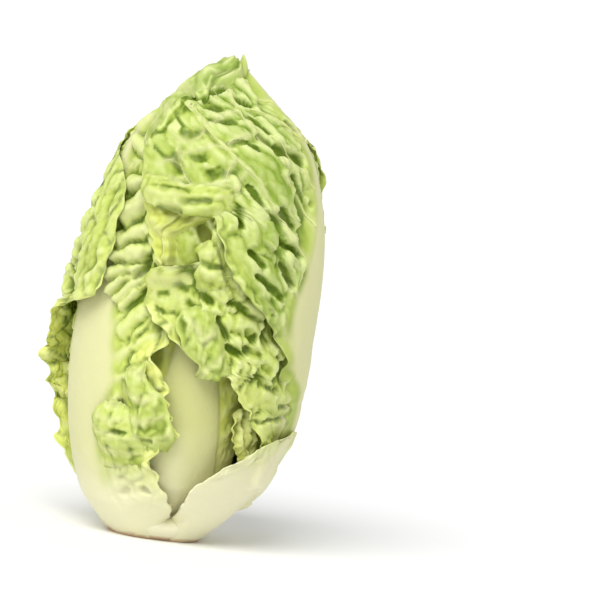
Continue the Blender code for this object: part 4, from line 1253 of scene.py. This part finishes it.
class NodeTree:
    """Adds nodes to a tree, each from its type, its settings and the values or links of its sockets."""

    def __init__(self, tree):
        self.tree = tree

    def node(self, kind, settings=None, inputs=None, output=0):
        """A node's output, or the node itself where it has none."""
        node = self.tree.nodes.new(kind)
        for name, value in (settings or {}).items():
            setattr(node, name, value)
        for name, value in (inputs or {}).items():
            if isinstance(value, Wire):
                self.tree.links.new(value.socket, node.inputs[name])
            else:
                node.inputs[name].default_value = value
        return Wire(self, node.outputs[output]) if len(node.outputs) else node

    def attribute(self, name):
        """What a leaf's mesh says of each of its points."""
        return self.node("ShaderNodeAttribute", {"attribute_name": name}, output="Fac")

    def mix(self, factor, a, b):
        """Two colours mixed; A, B and the result of a colour mix are sockets 6, 7 and 2."""
        return self.node("ShaderNodeMix", {"data_type": "RGBA"}, {0: factor, 6: a, 7: b}, output=2)

    def place(self):
        """The point's place on its object."""
        return self.node("ShaderNodeTexCoord", output="Object")

    def height(self, where):
        """The third coordinate of a place or a direction."""
        return self.node("ShaderNodeSeparateXYZ", None, {0: where}, output=2)

    def noise(self, scale, detail=3, roughness=0.5):
        where = self.place()
        return self.node("ShaderNodeTexNoise", None,
                         {"Vector": where, "Scale": scale, "Detail": detail, "Roughness": roughness})

    def steps(self, value, low, high):
        """0 at low and 1 at high, eased between them."""
        return self.node("ShaderNodeMapRange", {"interpolation_type": "SMOOTHSTEP"},
                         {"Value": value, "From Min": low, "From Max": high})


def new_material(name):
    material = bpy.data.materials.new(name)
    material.use_nodes = True
    material.node_tree.nodes.clear()
    return material, NodeTree(material.node_tree)


def finish_material(tree, colour, roughness, bump=None, bump_height=0.1, soft=0.0, soft_reach=(1, 1, 1)):
    """The Principled surface and the output."""
    inputs = {"Base Color": colour, "Roughness": roughness, "IOR": 1.4, "Specular IOR Level": 0.35}
    if soft:
        inputs |= {"Subsurface Weight": soft, "Subsurface Radius": soft_reach, "Subsurface Scale": SOFT_DEPTH}
    if bump is not None:
        inputs["Normal"] = tree.node(
            "ShaderNodeBump", None, {"Strength": 1.0, "Distance": bump_height * MM, "Height": bump})
    surface = tree.node("ShaderNodeBsdfPrincipled", None, inputs)
    tree.node("ShaderNodeOutputMaterial", None, {"Surface": surface})


def leaf_material(name, rib, blade, shade, settings):
    """Leaf skin: a cream midrib, green blades and paler veins, with a painted highlight on the bulges and
    painted shade in the folds.
    """
    material, tree = new_material(name)
    broad = tree.noise(45, 2)
    green = tree.mix(tree.steps(broad, 0.35, 0.7), blade, tuple(0.86 * c for c in blade[:3]) + (1,))
    # Yellow-green of young leaves, and on the ruffles partly painted light that brightens them.
    green = tree.mix(tree.attribute("lime"), green, settings.rgba("lime_colour"))
    # Darker green where deep is set; on the crown roll it is painted shade of the rolled-over underside.
    green = tree.mix(tree.attribute("deep"), green, settings.rgba("deep_colour"))
    # Painted highlight: a paler green on top of the bulges.
    green = tree.mix(tree.attribute("crest") * 0.65, green, settings.rgba("highlight_and_patch_colour"))
    # Painted shade: a darker green in the hollows and folds.
    green = tree.mix(tree.attribute("fold"), green, shade)
    green = tree.mix(tree.attribute("vein") * 0.9, green, rib)
    green = tree.mix(tree.attribute("edge") * 0.35, green, settings.rgba("margin_colour"))
    white = tree.attribute("white")
    green = tree.mix(white * 0.75, green, rib)
    skin = tree.mix(tree.attribute("rib"), green, rib)
    skin = tree.mix(white * 0.8, skin, settings.rgba("base_colour"))
    cut = tree.steps(tree.height(tree.place()) + 0.003 * (tree.noise(220, 3) - 0.5), 1.9 * MM, 0.3 * MM)
    skin = tree.mix(cut * 0.8, skin, settings.rgba("rim_colour"))
    grain = tree.noise(900, 3, 0.6) + 2 * tree.noise(260, 2)
    finish_material(tree, skin, 0.5, grain, 0.10, **SOFT_SKIN)
    return material


def stem_material(settings):
    """The stem: a cream cut face, brownish round its rim and in its bundle ends, and a white side."""
    material, tree = new_material("cut stem")
    where = tree.place()
    blotch = tree.noise(350, 4, 0.6)
    out = tree.node("ShaderNodeVectorMath", {"operation": "LENGTH"}, {0: where}, output="Value")
    high = tree.steps(tree.height(where), 0.6 * MM, 2 * MM)
    rim = tree.steps(out + 0.004 * blotch, 9.5 * MM, 13.5 * MM)
    skin = tree.mix(rim * 0.7, settings.rgba("cut_colour"), settings.rgba("rim_colour"))
    skin = tree.mix(tree.steps(blotch, 0.45, 0.75) * 0.35, skin, settings.rgba("rim_colour"))
    skin = tree.mix(high, skin, settings.rgba("base_colour"))
    finish_material(tree, skin, 0.55, blotch, 0.15, soft=0.2, soft_reach=(1.0, 0.7, 0.4))
    return material


def add_piece(name, mesh, material, node=None):
    """Puts a finished mesh into the scene, in place of a node of the frame where one is given."""
    mesh.materials.clear()
    mesh.materials.append(material)
    piece = bpy.data.objects.new(name, mesh)
    bpy.context.scene.collection.objects.link(piece)
    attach(piece, BODY)
    if node:
        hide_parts(node)


def number(name, description, default, **limits):
    """A setting that is one number."""
    return bpy.props.FloatProperty(name=name, description=description, default=default, **limits)


def angle(name, description, degrees, **limits):
    """A setting that is an angle."""
    return number(name, description, math.radians(degrees), subtype="ANGLE", **limits)


def colour(name, description, *default):
    """A setting that is a colour."""
    return bpy.props.FloatVectorProperty(
        name=name, description=description, subtype="COLOR", default=default, min=0, max=1)


class LeafSettings(bpy.types.PropertyGroup):
    """Sizes and colours of the leaves and the stem."""

    crinkle: number("Crinkle", "Height of blisters and veins, 1 being natural", 1.0, min=0, max=2)
    frill: number("Frill", "Height of the ruffled margins, 1 being natural", 1.0, min=0, max=2)
    coarseness: number(
        "Mesh Coarseness", "Multiplies the step from point to point of every leaf", 1.0, min=0.8, max=4)
    rib_colour: colour("Rib", "Cream of the midribs", 0.68, 0.675, 0.35)
    base_colour: colour("Leaf Base", "White of the leaves' lower ends", 0.83, 0.80, 0.57)
    blade_colour: colour("Outer Blade", "Green of the outer leaves", 0.52, 0.62, 0.12)
    # Painted shade: the darker green that the hollows and folds of the outer leaves are painted with.
    shade_colour: colour("Outer Folds", "Green in the folds of the outer leaves", 0.11, 0.18, 0.006)
    heart_colour: colour("Heart Blade", "Yellow-green of the inner leaves", 0.53, 0.60, 0.08)
    # The ruffles' yellow-green is partly their own colour and partly painted light, as if light fell onto
    # them and shone through them.
    lime_colour: colour("Lime", "Yellow-green of ruffles and young leaves", 0.80, 0.84, 0.22)
    # The darker green that deep mixes in; on the crown roll it is painted shade of the rolled-over underside.
    deep_colour: colour("Deep Green", "Green of the leaves that had the most light", 0.27, 0.39, 0.045)
    # Painted highlight on the bulges' tops; the veins' random pale patches take this colour too.
    highlight_and_patch_colour: colour("Bulges", "Paler green on top of the bulges", 0.77, 0.83, 0.38)
    margin_colour: colour("Margin", "Pale line along the margins", 0.68, 0.76, 0.26)
    cut_colour: colour("Cut", "Cream of the cut stem", 0.80, 0.72, 0.52)
    rim_colour: colour("Cut Rim", "Brown round the cut", 0.52, 0.30, 0.13)

    def rgba(self, name, *shares):
        """One of the colours with an alpha of 1, its red, green and blue multiplied by shares."""
        return (*(c * share for c, share in zip(getattr(self, name), shares or (1, 1, 1))), 1)


class StageSettings(bpy.types.PropertyGroup):
    """Floor, light and camera."""

    floor_colour: colour("Floor", "Colour of the floor", 0.9, 0.9, 0.9)
    floor_size: number("Floor Size", "Side of the square floor", 300.0, min=1, unit="LENGTH")
    sky: number("Sky", "Strength of the even white light", 0.62, min=0)
    horizon: number("Horizon", "Strength of the white light at the horizon", 1.1, min=0)
    key: number("Key Light", "Irradiance of the main soft light in watts per square metre", 2.4, min=0)
    key_size: angle("Key Softness", "Angle that the main light spans", 40, min=0, max=math.pi)
    key_azimuth: angle("Key Azimuth", "Where the main light stands round the head, 0 being in front", -18)
    key_elevation: angle("Key Elevation", "How high the main light stands", 48)
    elevation: angle("Camera Elevation", "How far above level the camera looks from", VIEW_TILT)
    roll: angle("Camera Roll", "How far the picture is turned", VIEW_ROLL)
    distance: number(
        "Camera Distance", "From the camera to the head's axis", VIEW_DISTANCE, min=0.3, unit="LENGTH")


def group_leaves(group):
    """The leaves of a group without their lobes, and every leaf's sheets."""
    settings = bpy.context.scene.lettuce_leaves
    sheets = laid_sheets(Look(settings.crinkle, settings.frill, settings.coarseness))
    return [(leaf.name, sheets[leaf.name]) for leaf in LEAVES if leaf.group == group]


def add_leaves(group, material):
    """Adds every leaf of a group."""
    for name, sheets in group_leaves(group):
        add_piece(name + "_surface", leaf_mesh(sheets, name + "_surface"), material, name)


class AddHeartLeaves(bpy.types.Operator):
    """Add the rolled leaves of the inner heart"""

    bl_idname = "lettuce.add_heart_leaves"
    bl_label = "Heart Leaves"
    bl_options = {"REGISTER", "UNDO"}

    def execute(self, context):
        settings = context.scene.lettuce_leaves
        rib, heart = settings.rgba("rib_colour"), settings.rgba("heart_colour")
        # A darker copy of the heart green: the painted shade in the folds.
        shade = settings.rgba("heart_colour", 0.55, 0.55, 0.55)
        add_leaves("heart", leaf_material("heart leaf skin", rib, heart, shade, settings))
        return {"FINISHED"}


class AddInnerLeaves(bpy.types.Operator):
    """Add the leaves that show in the open front and line the back"""

    bl_idname = "lettuce.add_inner_leaves"
    bl_label = "Inner Leaves"
    bl_options = {"REGISTER", "UNDO"}

    def execute(self, context):
        settings = context.scene.lettuce_leaves
        rib, heart = settings.rgba("rib_colour", 0.86, 0.88, 0.7), settings.rgba("heart_colour")
        # A darker copy of the heart green: the painted shade in the folds.
        shade = settings.rgba("heart_colour", 0.5, 0.5, 0.5)
        add_leaves("inner", leaf_material("inner leaf skin", rib, heart, shade, settings))
        return {"FINISHED"}


class AddOuterLeaves(bpy.types.Operator):
    """Add the outer leaves with their broad midribs"""

    bl_idname = "lettuce.add_outer_leaves"
    bl_label = "Outer Leaves"
    bl_options = {"REGISTER", "UNDO"}

    def execute(self, context):
        settings = context.scene.lettuce_leaves
        rib, blade, shade = (settings.rgba(name) for name in ("rib_colour", "blade_colour", "shade_colour"))
        add_leaves("outer", leaf_material("outer leaf skin", rib, blade, shade, settings))
        return {"FINISHED"}


class AddVeins(bpy.types.Operator):
    """Add the fine raised veins of the outer leaves"""

    bl_idname = "lettuce.add_veins"
    bl_label = "Veins"
    bl_options = {"REGISTER", "UNDO"}

    def execute(self, context):
        settings = context.scene.lettuce_leaves
        material, tree = new_material("vein skin")
        pale = tree.mix(0.4, settings.rgba("blade_colour"), settings.rgba("rib_colour"))
        # Random paler patches on the veins, in the colour of the leaves' painted highlight.
        patch = tree.steps(tree.noise(60, 2), 0.35, 0.65) * 0.4
        skin = tree.mix(patch, pale, settings.rgba("highlight_and_patch_colour"))
        finish_material(tree, skin, 0.42, tree.noise(900, 3, 0.6), 0.05, **SOFT_SKIN)
        for leaf, (sheet, *_) in group_leaves("outer"):
            lines = side_veins(sheet) + drawn_veins(sheet)
            if lines:
                name = leaf + "_veins"
                add_piece(name, grown_tubes(name, lines, 1.0), material)
        return {"FINISHED"}


class AddStem(bpy.types.Operator):
    """Add the short stem with its cut face"""

    bl_idname = "lettuce.add_stem"
    bl_label = "Stem"
    bl_options = {"REGISTER", "UNDO"}

    def execute(self, context):
        heights = np.append(np.linspace(0, 0.9, 24), [0.95, 0.985]) * STEM_HEIGHT
        turns = np.linspace(0, 2 * math.pi, 97)[:-1]
        points, faces = [(0, 0, 0)], []
        for z in heights:
            radius = grown_radius(z)
            points += [(radius * math.cos(t) + lean(z), radius * math.sin(t), z) for t in turns]
        points.append((lean(STEM_HEIGHT), 0, STEM_HEIGHT))
        count, last = len(turns), len(points) - 1
        for k in range(count):
            after = (k + 1) % count
            faces.append((0, 1 + after, 1 + k))
            for ring in range(len(heights) - 1):
                low, high = 1 + ring * count, 1 + (ring + 1) * count
                faces.append((low + k, low + after, high + after, high + k))
            top = 1 + (len(heights) - 1) * count
            faces.append((top + k, top + after, last))
        mesh = bpy.data.meshes.new("stem_surface")
        mesh.from_pydata(points, [], faces)
        mesh.shade_smooth()
        add_piece("stem_surface", mesh, stem_material(context.scene.lettuce_leaves), "stem")
        return {"FINISHED"}


class AddStage(bpy.types.Operator):
    """Add the floor, the lights and the camera"""

    bl_idname = "lettuce.add_stage"
    bl_label = "Stage"
    bl_options = {"REGISTER", "UNDO"}

    def execute(self, context):
        stage = context.scene.lettuce_stage
        self.add_floor(context, stage)
        self.add_light(context, stage)
        self.add_camera(context, stage)
        context.scene.view_settings.view_transform = "Standard"
        return {"FINISHED"}

    def add_floor(self, context, stage):
        half = stage.floor_size / 2
        mesh = bpy.data.meshes.new("floor")
        corners = [(-half, -half, 0), (half, -half, 0), (half, half, 0), (-half, half, 0)]
        mesh.from_pydata(corners, [], [(0, 1, 2, 3)])
        material, tree = new_material("floor")
        finish_material(tree, (*stage.floor_colour, 1), 0.9)
        mesh.materials.append(material)
        floor = bpy.data.objects.new("floor", mesh)
        context.scene.collection.objects.link(floor)

    def add_light(self, context, stage):
        world = bpy.data.worlds.new("studio")
        world.use_nodes = True
        world.node_tree.nodes.clear()
        tree = NodeTree(world.node_tree)
        direction = tree.node("ShaderNodeTexCoord", output="Generated")
        band = tree.steps(tree.height(direction), 0.14, 0.04)
        strength = stage.sky + (stage.horizon - stage.sky) * band
        background = tree.node("ShaderNodeBackground", None, {"Color": (1, 1, 1, 1), "Strength": strength})
        tree.node("ShaderNodeOutputWorld", None, {"Surface": background})
        context.scene.world = world
        data = bpy.data.lights.new("key", "SUN")
        data.energy = stage.key
        data.angle = stage.key_size
        light = bpy.data.objects.new("key", data)
        turn, tilt = stage.key_azimuth, stage.key_elevation
        light.location = (math.sin(turn), -math.cos(turn), 1.0)
        light.rotation_euler = (math.pi / 2 - tilt, 0, turn)
        context.scene.collection.objects.link(light)

    def add_camera(self, context, stage):
        """Aims so that the base's centre falls on its own pixel of the square frame."""
        data = bpy.data.cameras.new("camera")
        data.sensor_width = 36
        data.lens = 36 * PICTURE_SCALE * stage.distance / PICTURE
        camera = bpy.data.objects.new("camera", data)
        right, up = picture_axes(stage.elevation, stage.roll)
        ahead = np.cross(up, right)
        offset = np.array([PICTURE / 2 - BASE_AT[0], BASE_AT[1] - PICTURE / 2]) / PICTURE_SCALE
        middle = right * offset[0] + up * offset[1]
        turn = Matrix([right, up, -ahead]).transposed().to_4x4()
        camera.matrix_world = Matrix.Translation(middle - ahead * stage.distance) @ turn
        context.scene.collection.objects.link(camera)
        context.scene.camera = camera


class LettucePanel(bpy.types.Panel):
    """Lists the lettuce heart's settings and pieces"""

    bl_idname = "VIEW3D_PT_lettuce"
    bl_label = "Lettuce Heart"
    bl_space_type = "VIEW_3D"
    bl_region_type = "UI"
    bl_category = "Lettuce"

    def draw(self, context):
        for group in (context.scene.lettuce_leaves, context.scene.lettuce_stage):
            column = self.layout.column(align=True)
            for name in group.__annotations__:
                column.prop(group, name)
        for operator in OPERATORS:
            self.layout.operator(operator.bl_idname)


OPERATORS = (AddStem, AddHeartLeaves, AddInnerLeaves, AddOuterLeaves, AddVeins, AddStage)
CLASSES = (LeafSettings, StageSettings, *OPERATORS, LettucePanel)


def register():
    for cls in CLASSES:
        bpy.utils.register_class(cls)
    bpy.types.Scene.lettuce_leaves = bpy.props.PointerProperty(type=LeafSettings)
    bpy.types.Scene.lettuce_stage = bpy.props.PointerProperty(type=StageSettings)


def unregister():
    del bpy.types.Scene.lettuce_stage
    del bpy.types.Scene.lettuce_leaves
    for cls in reversed(CLASSES):
        bpy.utils.unregister_class(cls)


def main():
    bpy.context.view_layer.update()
    register()
    bpy.ops.lettuce.add_stem()
    bpy.ops.lettuce.add_heart_leaves()
    bpy.ops.lettuce.add_inner_leaves()
    bpy.ops.lettuce.add_outer_leaves()
    bpy.ops.lettuce.add_veins()
    bpy.ops.lettuce.add_stage()


if __name__ == "__main__":
    main()
